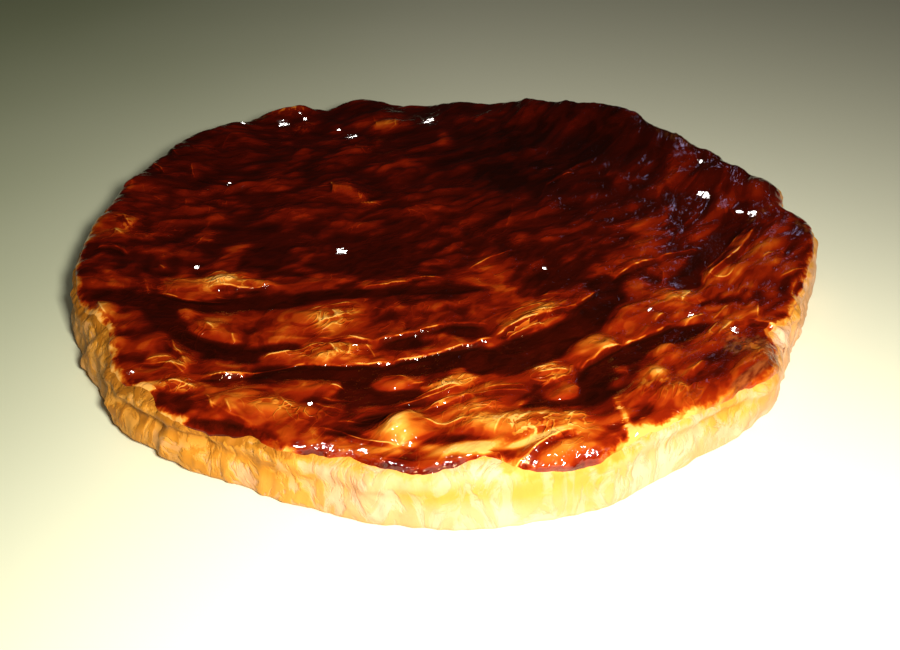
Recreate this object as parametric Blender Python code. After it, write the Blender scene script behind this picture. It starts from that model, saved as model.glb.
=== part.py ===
"""A snail pie: a round of puff pastry under a wrinkled, glazed lid. Metres, +Z up, shown side to -Y.

The pie is one solid. It starts as a flat round blank with a rounded rim and foot. The blank is then
pushed out to the pie's uneven outline, and its top is raised into a rim, folds, bulges and dimples,
with hollows between them where the glaze lies level. The underside stays flat at z = 0.
"""

import bmesh
import bpy
import numpy as np

NAME = "snail_pie"

# Driving dimensions.
RADIUS = 0.1415
RIM_HEIGHT = 0.0208
FLOOR_DROP = 0.0036
RIM_WIDTH = 0.034
FOOT_FLARE = 0.0025

# The blank: a disc with a quarter-ellipse shoulder and foot, and an upright wall between them.
SHOULDER_WIDTH = 0.0065
SHOULDER_DEPTH = 0.0055
FOOT_WIDTH = 0.0030
FOOT_DEPTH = 0.0026
TOP_CELLS = 208
ARC_STEPS = 5
WALL_STEPS = 8
FACES_KEPT = 0.0970

# Bumps round the rim: where and how wide they are in degrees from +X, and how far they stand out.
OUTLINE_BUMPS = [
    (-145, 9, -0.0030),
    (-128, 6, 0.0030),
    (-112, 6, -0.0020),
    (-93, 7, 0.0025),
    (-75, 6, 0.0020),
    (-46, 4, 0.0035),
    (-28, 9, -0.0045),
    (-4, 7, 0.0062),
    (3.5, 2.2, -0.0030),
    (12, 5, 0.0062),
    (30, 8, -0.0015),
    (53, 9, 0.0060),
    (47, 2.5, 0.0020),
    (89, 14, -0.0060),
    (118, 4, -0.0025),
    (133, 9, 0.0040),
    (148, 6, 0.0045),
    (178, 9, -0.0020),
]
FLARE_BUMPS = [
    (-160, 8, 0.0016),
    (-144, 6, 0.0030),
    (-127, 5, -0.0025),
    (-94, 5, -0.0020),
    (-84, 4, 0.0020),
    (-57, 7, -0.0025),
    (-46, 4, -0.0050),
]
RIM_BUMPS = [
    (53, 8, 0.0025),
    (80, 7, -0.0030),
    (97, 8, -0.0066),
    (116, 4, -0.0020),
    (147, 8, 0.0017),
    (-150, 9, -0.0010),
    (-36, 5, -0.0020),
]

# Folds of the lid: both ends, the bow between them, the step's height and how far it slopes away behind.
FOLDS = [
    ((-0.0620, -0.1000), (-0.0400, -0.0915), 0.0012, 0.0014, 0.006),
    ((-0.0440, -0.0915), (-0.0140, -0.0918), -0.0010, 0.0018, 0.006),
    ((-0.0200, -0.0927), (0.0180, -0.0785), -0.0010, 0.0018, 0.005),
    ((0.0160, -0.0795), (0.0470, -0.0595), 0.0010, 0.0018, 0.005),
    ((0.0420, -0.0625), (0.0570, -0.0470), -0.0010, 0.0012, 0.004),
    ((0.0210, -0.0800), (0.0350, -0.0710), 0.0010, 0.0013, 0.003),
    ((-0.0430, -0.0785), (-0.0200, -0.0805), -0.0004, 0.0010, 0.004),
    ((-0.0240, -0.0812), (0.0040, -0.0700), -0.0010, 0.0014, 0.004),
    ((0.0010, -0.0708), (0.0160, -0.0718), 0.0008, 0.0011, 0.003),
    ((-0.0740, -0.1010), (-0.0580, -0.0980), -0.0010, 0.0014, 0.004),
    ((-0.0840, -0.0500), (-0.0580, -0.0485), -0.0010, 0.0013, 0.005),
    ((-0.1010, -0.0530), (-0.0730, -0.0570), -0.0020, 0.0013, 0.004),
    ((-0.0300, -0.0492), (-0.0110, -0.0440), 0.0000, 0.0010, 0.003),
    ((-0.0140, -0.0435), (0.0010, -0.0430), 0.0012, 0.0010, 0.003),
    ((-0.0250, -0.1218), (-0.0090, -0.1148), 0.0008, 0.0008, 0.003),
    ((-0.0150, -0.1132), (0.0080, -0.1028), -0.0005, 0.0010, 0.004),
    ((-0.0060, -0.1172), (0.0120, -0.1075), 0.0003, 0.0008, 0.003),
    ((0.0090, -0.1082), (0.0280, -0.1062), 0.0008, 0.0007, 0.003),
    ((-0.0030, -0.1148), (0.0100, -0.1088), 0.0009, 0.0006, 0.002),
    ((0.0430, -0.0958), (0.0600, -0.0820), 0.0008, 0.0018, 0.005),
    ((0.0570, -0.0832), (0.0790, -0.0695), -0.0012, 0.0018, 0.005),
    ((0.0600, -0.0445), (0.0830, -0.0270), 0.0020, 0.0016, 0.005),
    ((0.0800, -0.0282), (0.0990, -0.0205), 0.0008, 0.0012, 0.004),
    ((0.0930, -0.0450), (0.1270, -0.0010), -0.0030, 0.0020, 0.005),
    ((0.0090, -0.0375), (0.0290, -0.0210), 0.0010, 0.0010, 0.003),
    ((-0.0350, -0.1235), (-0.0110, -0.1325), -0.0005, 0.0012, 0.003),
    ((0.0190, -0.1410), (0.0390, -0.1265), 0.0014, 0.0012, 0.003),
    ((-0.0950, -0.0955), (-0.0770, -0.0992), 0.0022, 0.0009, 0.003),
    ((-0.0900, -0.0830), (-0.0770, -0.0992), 0.0008, 0.0008, 0.003),
    ((0.1020, -0.0695), (0.1140, -0.0795), 0.0015, 0.0013, 0.003),
    ((-0.1320, -0.0270), (-0.1180, -0.0290), 0.0030, 0.0013, 0.003),
    ((-0.1310, 0.0480), (-0.1220, 0.0380), 0.0004, 0.0010, 0.003),
    ((-0.1280, 0.0660), (-0.1200, 0.0540), -0.0004, 0.0010, 0.003),
    ((-0.0500, 0.0370), (-0.0460, 0.0240), 0.0004, 0.0010, 0.003),
    ((0.0440, 0.0330), (0.0600, 0.0480), 0.0010, 0.0013, 0.004),
]

# Bulges: centre, half length, half width, turn in degrees and height.
BULGES = [
    ((-0.0100, -0.1240), 0.0066, 0.0074, 0, 0.0038),
    ((0.0340, -0.1345), 0.0130, 0.0040, 18, 0.0012),
    ((0.0100, -0.1130), 0.0105, 0.0060, 8, 0.0022),
    ((0.0100, -0.1222), 0.0090, 0.0032, 5, 0.0012),
    ((0.0000, -0.1065), 0.0090, 0.0028, 25, 0.0008),
    ((0.0240, -0.1235), 0.0085, 0.0070, 20, 0.0018),
    ((0.0370, -0.1230), 0.0065, 0.0060, 20, 0.0016),
    ((0.0030, -0.1010), 0.0100, 0.0025, 20, 0.0014),
    ((0.0340, -0.0965), 0.0070, 0.0055, 10, 0.0018),
    ((0.0380, -0.1070), 0.0070, 0.0040, 35, 0.0014),
    ((-0.0150, -0.1020), 0.0070, 0.0048, 5, 0.0016),
    ((0.0060, -0.0955), 0.0038, 0.0032, 0, 0.0012),
    ((-0.0430, -0.1035), 0.0060, 0.0050, 0, 0.0016),
    ((-0.0330, -0.1035), 0.0045, 0.0035, 0, 0.0014),
    ((-0.0500, -0.0700), 0.0080, 0.0075, 0, 0.0018),
    ((-0.0350, -0.0680), 0.0090, 0.0085, 0, 0.0018),
    ((-0.0350, -0.0860), 0.0140, 0.0050, 3, 0.0018),
    ((-0.0540, -0.0885), 0.0060, 0.0022, 8, 0.0012),
    ((-0.0650, -0.0970), 0.0060, 0.0040, 5, 0.0014),
    ((-0.0750, -0.0750), 0.0080, 0.0050, -30, 0.0016),
    ((-0.0690, -0.0800), 0.0035, 0.0035, 0, 0.0010),
    ((-0.0880, -0.0655), 0.0045, 0.0060, 0, 0.0014),
    ((-0.0780, -0.0455), 0.0080, 0.0062, 0, 0.0018),
    ((-0.0640, -0.0470), 0.0070, 0.0020, -8, 0.0012),
    ((-0.0920, -0.0480), 0.0080, 0.0055, 10, 0.0014),
    ((-0.1150, -0.0665), 0.0045, 0.0070, 20, 0.0014),
    ((-0.1040, -0.0850), 0.0035, 0.0028, 0, 0.0012),
    ((-0.0780, -0.1065), 0.0060, 0.0032, -5, 0.0014),
    ((-0.0830, -0.0930), 0.0050, 0.0070, 30, 0.0014),
    ((-0.0580, -0.1130), 0.0110, 0.0070, -8, 0.0018),
    ((-0.0420, -0.1170), 0.0120, 0.0050, -10, 0.0010),
    ((0.0310, -0.0660), 0.0100, 0.0065, 30, 0.0014),
    ((0.0290, -0.0745), 0.0060, 0.0026, 30, 0.0010),
    ((0.0480, -0.0825), 0.0075, 0.0065, 30, 0.0022),
    ((0.0620, -0.0650), 0.0065, 0.0085, -20, 0.0016),
    ((0.0700, -0.0860), 0.0060, 0.0070, 0, 0.0016),
    ((0.0660, -0.1000), 0.0038, 0.0036, 0, 0.0014),
    ((0.0790, -0.0975), 0.0055, 0.0022, 45, 0.0012),
    ((0.0660, -0.1090), 0.0110, 0.0070, 20, 0.0014),
    ((0.0850, -0.0530), 0.0080, 0.0042, 52, 0.0020),
    ((0.0780, -0.0580), 0.0120, 0.0085, 50, 0.0018),
    ((0.0840, -0.0690), 0.0038, 0.0022, 35, 0.0010),
    ((0.0930, -0.0760), 0.0120, 0.0050, 48, 0.0016),
    ((0.0990, -0.0980), 0.0130, 0.0080, 42, 0.0018),
    ((0.1010, -0.0400), 0.0080, 0.0048, 30, 0.0018),
    ((0.1160, -0.0280), 0.0180, 0.0090, 60, 0.0020),
    ((0.0800, -0.0150), 0.0140, 0.0060, 45, 0.0014),
    ((0.1300, 0.0250), 0.0110, 0.0080, 80, 0.0016),
    ((-0.0300, 0.1000), 0.0150, 0.0120, 0, 0.0020),
    ((0.0000, 0.0830), 0.0045, 0.0090, 0, 0.0014),
    ((-0.0800, 0.1120), 0.0120, 0.0060, 15, 0.0022),
    ((-0.0700, 0.0960), 0.0050, 0.0060, 0, 0.0014),
    ((-0.1100, 0.0430), 0.0035, 0.0070, 0, 0.0012),
    ((-0.1120, 0.0640), 0.0080, 0.0060, 0, 0.0012),
    ((-0.0620, 0.0060), 0.0110, 0.0060, 10, 0.0016),
    ((-0.0320, 0.0180), 0.0070, 0.0030, 0, 0.0012),
    ((-0.1270, -0.0120), 0.0050, 0.0060, 0, 0.0014),
    ((-0.0030, 0.0150), 0.0080, 0.0060, 0, 0.0012),
]

# Hollows that the glaze fills: centre, half length, half width, turn in degrees and depth.
POOLS = [
    ((-0.0440, -0.0960), 0.0180, 0.0040, 2, 0.0026),
    ((-0.0260, -0.1030), 0.0050, 0.0085, 0, 0.0022),
    ((-0.0150, -0.1080), 0.0100, 0.0034, 10, 0.0024),
    ((-0.0010, -0.0910), 0.0150, 0.0040, 18, 0.0024),
    ((0.0160, -0.0900), 0.0150, 0.0060, 8, 0.0016),
    ((0.0330, -0.0820), 0.0170, 0.0065, 36, 0.0026),
    ((0.0510, -0.0670), 0.0170, 0.0052, 52, 0.0028),
    ((0.0590, -0.0480), 0.0090, 0.0055, 65, 0.0020),
    ((-0.0120, -0.0825), 0.0090, 0.0026, 12, 0.0020),
    ((0.0080, -0.0755), 0.0055, 0.0032, 0, 0.0020),
    ((-0.0520, -0.0835), 0.0070, 0.0024, 0, 0.0018),
    ((-0.0190, -0.1190), 0.0055, 0.0018, 25, 0.0020),
    ((0.0620, -0.0865), 0.0170, 0.0036, 38, 0.0026),
    ((0.0810, -0.0760), 0.0080, 0.0036, 30, 0.0024),
    ((0.0460, -0.1040), 0.0050, 0.0100, -8, 0.0016),
    ((0.0340, -0.1130), 0.0110, 0.0018, 3, 0.0016),
    ((-0.1060, -0.0580), 0.0150, 0.0045, -4, 0.0020),
    ((-0.0720, -0.0590), 0.0230, 0.0036, 4, 0.0026),
    ((-0.0400, -0.0530), 0.0150, 0.0028, 6, 0.0022),
    ((-0.0040, -0.0500), 0.0180, 0.0024, 3, 0.0018),
    ((-0.0930, -0.0680), 0.0100, 0.0050, -52, 0.0022),
    ((-0.0730, -0.0840), 0.0160, 0.0044, -20, 0.0026),
    ((-0.0270, -0.0270), 0.0180, 0.0140, 0, 0.0026),
    ((-0.0680, -0.0220), 0.0080, 0.0150, 0, 0.0022),
    ((0.1030, -0.0210), 0.0240, 0.0046, 53, 0.0028),
    ((0.0880, -0.0480), 0.0100, 0.0040, 55, 0.0024),
    ((0.0400, -0.0430), 0.0180, 0.0060, 40, 0.0012),
    ((0.0030, -0.1290), 0.0130, 0.0022, 3, 0.0008),
    ((-0.0210, -0.1285), 0.0120, 0.0018, -20, 0.0018),
    ((-0.0620, -0.1240), 0.0100, 0.0020, -12, 0.0018),
    ((-0.1320, -0.0280), 0.0026, 0.0040, 0, 0.0018),
    ((0.0450, 0.0700), 0.0400, 0.0300, 20, 0.0010),
    ((0.1160, 0.0000), 0.0120, 0.0040, 60, 0.0022),
    ((-0.0200, 0.0900), 0.0160, 0.0050, -10, 0.0012),
]

# Folds of the wall that overlap like leaves: angle, how wide, how far it leans from foot to lid, and height.
LEAVES = [
    (-162, 7, 4, 0.0012),
    (-150, 9, 6, 0.0028),
    (-140, 3, 9, 0.0012),
    (-134, 5, -5, 0.0024),
    (-126, 4, 3, 0.0018),
    (-115, 8, -3, 0.0010),
    (-101, 6, 4, 0.0010),
    (-70, 7, -4, 0.0008),
    (-50, 5, 3, 0.0012),
    (-24, 7, -5, 0.0016),
    (20, 8, -3, 0.0016),
    (60, 6, 3, 0.0014),
    (120, 8, -5, 0.0018),
    (150, 7, 4, 0.0018),
]

# Random relief of the lid. It runs along LEAN, which steepens by BEND towards +X and TWIST towards +Y.
LEAN = 0.40
BEND = 1.85
TWIST = 3.0
WARP_LENGTH = 0.036
WARP = 0.009
LUMP_LENGTH = 0.030
LUMP_WIDTH = 0.018
LUMP_HEIGHT = 0.0046
DIMPLE_LENGTH = 0.0125
DIMPLE_WIDTH = 0.0082
DIMPLE_HEIGHT = 0.0024
DIMPLE_SPREAD = 0.045
DENT_LENGTH = 0.0120
DENT_WIDTH = 0.0085
DENT_HEIGHT = 0.0026
FRONT_CALM = 0.55
RIM_CALM = 0.40
BACK_CALM = 0.75
SWELL_LENGTH = 0.075
SWELL_DEPTH = 0.0016
FOLD_DROP = 0.0016
GLAZE_DEPTH = 0.0003
GLAZE_ROUNDING = 0.0004
CREST_LENGTH = 0.005
CREST_SWAY = 0.0007
TROUGH_AT = 0.0019
TROUGH_WIDTH = 0.0013
TROUGH_DEPTH = 0.35

# Random relief of the rim and the wall.
OUTLINE_DEPTH = 0.0020
NICK_DEPTH = 0.0014
RIM_DEPTH = 0.0018
PLEATS = 26
PLEAT_DEPTH = 0.0022
CRAGS = 80
CRAG_DEPTH = 0.0006
SEAM_LEVEL = 0.60
SEAM_SWAY = 0.16
SEAM_DEPTH = 0.0029
SEAM_WIDTH = 0.16

# Gradient noise: cells before it repeats, its first draw, and the mean of its folded values.
NOISE_CELLS = 64
SEED = 27
MEAN_FOLD = 0.2

CRUST_COLOUR = (0.30, 0.045, 0.008, 1.0)
CRUST_ROUGHNESS = 0.25


def clear_scene():
    for thing in list(bpy.data.objects):
        bpy.data.objects.remove(thing)


def fade(value):
    """Eases a value from 0 to 1."""
    value = np.clip(value, 0, 1)
    return value * value * (3 - 2 * value)


def noise(x, y, seed):
    """Gradient noise with cells of one unit, from about -0.7 to 0.7."""
    turns = np.random.default_rng(SEED + seed).uniform(0, 2 * np.pi, (NOISE_CELLS, NOISE_CELLS))
    column = np.floor(x).astype(int)
    row = np.floor(y).astype(int)
    total = np.zeros_like(x)
    for right in (0, 1):
        for up in (0, 1):
            turn = turns[(column + right) % NOISE_CELLS, (row + up) % NOISE_CELLS]
            across = x - column - right
            along = y - row - up
            slope = np.cos(turn) * across + np.sin(turn) * along
            total += slope * fade(1 - np.abs(across)) * fade(1 - np.abs(along))
    return total


def round_noise(angle, count, level, seed):
    """Noise that closes on itself round the pie, with about count bumps a turn."""
    reach = count / (2 * np.pi)
    return noise(reach * np.cos(angle) + 20, reach * np.sin(angle) + level + 20, seed)


def rim_bumps(angle, table):
    total = np.zeros_like(angle)
    for place, width, size in table:
        turn = (np.degrees(angle) - place + 180) % 360 - 180
        total += size * np.exp(-((turn / width) ** 2))
    return total


def outline(angle):
    """The wall's radius at the lid."""
    scallops = OUTLINE_DEPTH * round_noise(angle, 46, 0, 1)
    nicks = NICK_DEPTH * np.abs(round_noise(angle, 120, 3, 8))
    return RADIUS + rim_bumps(angle, OUTLINE_BUMPS) + scallops - nicks


def rim_height(angle):
    """The height of the rim's crest."""
    return RIM_HEIGHT + rim_bumps(angle, RIM_BUMPS) + RIM_DEPTH * round_noise(angle, 66, 5, 9)


def flare(angle):
    """How far the foot stands out past the wall's top."""
    return FOOT_FLARE + rim_bumps(angle, FLARE_BUMPS)


def fold(x, y, start, end, bow, height, reach):
    """A bowed step: steep with a trough on its near side, sloping away behind its crest."""
    run = np.subtract(end, start)
    length = np.hypot(*run)
    along = ((x - start[0]) * run[0] + (y - start[1]) * run[1]) / length**2
    across = ((y - start[1]) * run[0] - (x - start[0]) * run[1]) / length
    across = across - 4 * bow * along * (1 - along)
    lane = np.full_like(along, 999 * start[0])
    across = across + CREST_SWAY * noise(along * length / CREST_LENGTH, lane, 11)
    taper = fade(along * 5) * fade((1 - along) * 5)
    slope = np.exp(-np.maximum(across, 0) / reach) * np.exp(-((np.minimum(across, 0) / FOLD_DROP) ** 2))
    trough = np.exp(-(((across + TROUGH_AT) / TROUGH_WIDTH) ** 2))
    return height * taper * (slope - TROUGH_DEPTH * trough)


def oval(x, y, centre, length, width, turn, height):
    """A soft dome, or a hollow for a height below zero."""
    cosine = np.cos(np.radians(turn))
    sine = np.sin(np.radians(turn))
    along = ((x - centre[0]) * cosine + (y - centre[1]) * sine) / length
    across = ((y - centre[1]) * cosine - (x - centre[0]) * sine) / width
    return height * np.exp(-((along**2 + across**2) ** 1.4))


def random_relief(x, y, rise):
    """Lumps and dimples that run with the folds, with longer dents towards the back."""
    along = x + WARP * noise(x / WARP_LENGTH, y / WARP_LENGTH, 2)
    across = y - (LEAN + TWIST * np.maximum(y, 0)) * x - BEND * x * x
    across = across + WARP * noise(x / WARP_LENGTH + 9, y / WARP_LENGTH, 2)
    lumps = np.abs(noise(along / LUMP_LENGTH, across / LUMP_WIDTH, 4)) - MEAN_FOLD
    dimples = np.abs(noise(along / DIMPLE_LENGTH, across / DIMPLE_WIDTH, 5)) - MEAN_FOLD
    dimples = DIMPLE_HEIGHT * dimples * (1 + noise(x / DIMPLE_SPREAD, y / DIMPLE_SPREAD + 5, 12))
    dents = np.abs(noise(along / DENT_LENGTH, across / DENT_WIDTH + 3, 16)) - MEAN_FOLD
    back = fade((y + 0.045) / 0.07)
    front = fade(-y / 0.06)
    calm = 1 - FRONT_CALM * front - RIM_CALM * rise * (1 - front)
    return calm * (LUMP_HEIGHT * lumps + dimples * (1 - BACK_CALM * back) + DENT_HEIGHT * dents * back)


def lid_height(x, y):
    """The top's height over a point of the plan."""
    angle = np.arctan2(y, x)
    inset = outline(angle) - np.hypot(x, y)
    floor = RIM_HEIGHT - FLOOR_DROP
    rise = fade(1 - (inset - SHOULDER_WIDTH) / RIM_WIDTH)
    swell = SWELL_DEPTH * noise(x / SWELL_LENGTH, y / SWELL_LENGTH + 7, 3)
    level = floor + (rim_height(angle) - floor) * rise + swell - GLAZE_DEPTH
    depth = GLAZE_DEPTH + random_relief(x, y, rise)
    for *place, height in BULGES:
        depth += oval(x, y, *place, height)
    for *place, fall in POOLS:
        depth += oval(x, y, *place, -fall)
    for values in FOLDS:
        depth += fold(x, y, *values)
    return level + GLAZE_ROUNDING * np.logaddexp(0, depth / GLAZE_ROUNDING)


def wall_relief(angle, level):
    """Leaf-like pleats, crags and the seam between two sheets, which fade out at the lid and foot."""
    pleats = np.abs(round_noise(angle, PLEATS, 0.4 * level, 6)) - MEAN_FOLD
    crags = round_noise(angle, CRAGS, 1.2 * level, 7)
    relief = PLEAT_DEPTH * pleats + CRAG_DEPTH * crags
    for place, width, lean, height in LEAVES:
        turn = (np.degrees(angle) - place - lean * level + 180) % 360 - 180
        relief += height * np.where(turn > 0, np.exp(-turn / width), np.exp(-((turn / 1.1) ** 2)))
    seam = SEAM_LEVEL + SEAM_SWAY * round_noise(angle, 14, 0, 10)
    groove = np.exp(-(((level - seam) / SEAM_WIDTH) ** 2)) * fade(0.35 + 1.6 * round_noise(angle, 16, 4, 24))
    relief -= SEAM_DEPTH * groove
    return relief * fade(level * 5) * fade((1 - level) * 3.5)


def blank_profile():
    """Radius and height of the blank's rings, from the shoulder's crest down to the underside."""
    rings = []
    for i in range(1, ARC_STEPS + 1):
        turn = np.pi / 2 * i / ARC_STEPS
        drop = SHOULDER_DEPTH * (1 - np.cos(turn))
        rings.append((RADIUS - SHOULDER_WIDTH * (1 - np.sin(turn)), RIM_HEIGHT - drop))
    wall_top = RIM_HEIGHT - SHOULDER_DEPTH
    for i in range(1, WALL_STEPS + 1):
        rings.append((RADIUS, wall_top + (FOOT_DEPTH - wall_top) * i / WALL_STEPS))
    for i in range(1, ARC_STEPS + 1):
        turn = np.pi / 2 * i / ARC_STEPS
        rings.append((RADIUS - FOOT_WIDTH * (1 - np.cos(turn)), FOOT_DEPTH * (1 - np.sin(turn))))
    return rings


def blank():
    """A round blank of even cells: a square grid drawn out to a disc, with its edge turned down."""
    shape = bmesh.new()
    bmesh.ops.create_grid(shape, x_segments=TOP_CELLS, y_segments=TOP_CELLS, size=1)
    for vertex in shape.verts:
        x, y = vertex.co.xy
        reach = max(abs(x), abs(y))
        angle = np.arctan2(y, x)
        if reach > 0:
            side = np.pi / 2 * round(angle / (np.pi / 2))
            angle = side + np.pi / 4 * np.tan(angle - side)
        radius = reach * (RADIUS - SHOULDER_WIDTH)
        vertex.co = (radius * np.cos(angle), radius * np.sin(angle), RIM_HEIGHT)
    for radius, height in blank_profile():
        edges = [edge for edge in shape.edges if edge.is_boundary]
        grown = bmesh.ops.extrude_edge_only(shape, edges=edges)["geom"]
        for vertex in grown:
            if isinstance(vertex, bmesh.types.BMVert):
                scale = radius / vertex.co.xy.length
                vertex.co = (vertex.co.x * scale, vertex.co.y * scale, height)
    edges = [edge for edge in shape.edges if edge.is_boundary]
    bmesh.ops.contextual_create(shape, geom=edges)
    bmesh.ops.recalc_face_normals(shape, faces=shape.faces)
    mesh = bpy.data.meshes.new(NAME)
    shape.to_mesh(mesh)
    shape.free()
    return mesh


def raise_relief(mesh):
    """Moves the blank's points out to the pie's outline and up to its lid."""
    points = np.empty(len(mesh.vertices) * 3, np.float32)
    mesh.vertices.foreach_get("co", points)
    x, y, z = points.reshape(-1, 3).T.astype(float)
    level = z / RIM_HEIGHT
    angle = np.arctan2(y, x)
    blank_radius = np.hypot(x, y)
    edge = fade((blank_radius / RADIUS - 0.94) / 0.04)
    radius = blank_radius / RADIUS * (outline(angle) + flare(angle) * (1 - level))
    radius += edge * wall_relief(angle, level)
    x = radius * np.cos(angle)
    y = radius * np.sin(angle)
    z = level * lid_height(x, y)
    mesh.vertices.foreach_set("co", np.stack([x, y, z], 1).ravel())
    mesh.update()


def crust_material():
    material = bpy.data.materials.new("glazed_pastry")
    material.use_nodes = True
    shader = material.node_tree.nodes["Principled BSDF"]
    shader.inputs["Base Color"].default_value = CRUST_COLOUR
    shader.inputs["Roughness"].default_value = CRUST_ROUGHNESS
    shader.inputs["Metallic"].default_value = 0.0
    return material


def make_pie():
    collection = bpy.data.collections.new(NAME)
    bpy.context.scene.collection.children.link(collection)
    mesh = blank()
    raise_relief(mesh)
    mesh.materials.append(crust_material())
    mesh.shade_smooth()
    pie = bpy.data.objects.new(NAME, mesh)
    collection.objects.link(pie)
    thin_out = pie.modifiers.new("even_out_faces", "DECIMATE")
    thin_out.ratio = FACES_KEPT


clear_scene()
make_pie()
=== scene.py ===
"""Looks of the snail pie: a wrinkled, glazed lid on a pale flaky crust, standing on a pale table."""

import bmesh
import bpy
import numpy as np
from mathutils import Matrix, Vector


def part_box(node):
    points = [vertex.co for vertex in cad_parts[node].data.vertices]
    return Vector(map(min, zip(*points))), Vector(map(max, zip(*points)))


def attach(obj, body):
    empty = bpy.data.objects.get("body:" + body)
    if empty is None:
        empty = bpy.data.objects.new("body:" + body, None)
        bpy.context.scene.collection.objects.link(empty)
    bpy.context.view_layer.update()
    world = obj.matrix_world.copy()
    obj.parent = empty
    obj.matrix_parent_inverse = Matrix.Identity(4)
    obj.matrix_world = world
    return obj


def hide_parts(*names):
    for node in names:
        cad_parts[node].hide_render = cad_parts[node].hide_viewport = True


NODE = "snail_pie"

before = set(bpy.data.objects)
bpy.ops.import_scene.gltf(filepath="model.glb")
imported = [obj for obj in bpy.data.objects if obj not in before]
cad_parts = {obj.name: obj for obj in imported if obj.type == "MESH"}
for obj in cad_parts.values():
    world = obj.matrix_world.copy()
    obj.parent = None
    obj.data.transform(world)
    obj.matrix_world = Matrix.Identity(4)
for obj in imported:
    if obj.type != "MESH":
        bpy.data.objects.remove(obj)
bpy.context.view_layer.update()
low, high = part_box(NODE)
WIDTH = high[0] - low[0]
FLOOR_Z = low[2]

# Driving dimensions, which are part.py's.
RADIUS = 0.1415
RIM_HEIGHT = 0.0208
FLOOR_DROP = 0.0036
RIM_WIDTH = 0.034
FOOT_FLARE = 0.0025
SHOULDER_WIDTH = 0.0065
SHOULDER_DEPTH = 0.0055
FOOT_WIDTH = 0.0030
FOOT_DEPTH = 0.0026
SHOULDER_RUN = np.pi / 2 * np.hypot(SHOULDER_WIDTH, SHOULDER_DEPTH) / np.sqrt(2)
WALL_RUN = RIM_HEIGHT - SHOULDER_DEPTH - FOOT_DEPTH
FOOT_RUN = np.pi / 2 * np.hypot(FOOT_WIDTH, FOOT_DEPTH) / np.sqrt(2)

# Bumps of the outline, the foot and the rim: angle and width in degrees, and size.
OUTLINE_BUMPS = [
    (-145, 9, -0.0030),
    (-128, 6, 0.0030),
    (-112, 6, -0.0020),
    (-93, 7, 0.0025),
    (-75, 6, 0.0020),
    (-46, 4, 0.0035),
    (-28, 9, -0.0045),
    (-4, 7, 0.0062),
    (3.5, 2.2, -0.0030),
    (12, 5, 0.0062),
    (30, 8, -0.0015),
    (53, 9, 0.0060),
    (47, 2.5, 0.0020),
    (89, 14, -0.0060),
    (118, 4, -0.0025),
    (133, 9, 0.0040),
    (148, 6, 0.0045),
    (178, 9, -0.0020),
]
FLARE_BUMPS = [
    (-160, 8, 0.0016),
    (-144, 6, 0.0030),
    (-127, 5, -0.0025),
    (-94, 5, -0.0020),
    (-84, 4, 0.0020),
    (-57, 7, -0.0025),
    (-46, 4, -0.0050),
]
RIM_BUMPS = [
    (53, 8, 0.0025),
    (80, 7, -0.0030),
    (97, 8, -0.0066),
    (116, 4, -0.0020),
    (147, 8, 0.0017),
    (-150, 9, -0.0010),
    (-36, 5, -0.0020),
]
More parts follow.
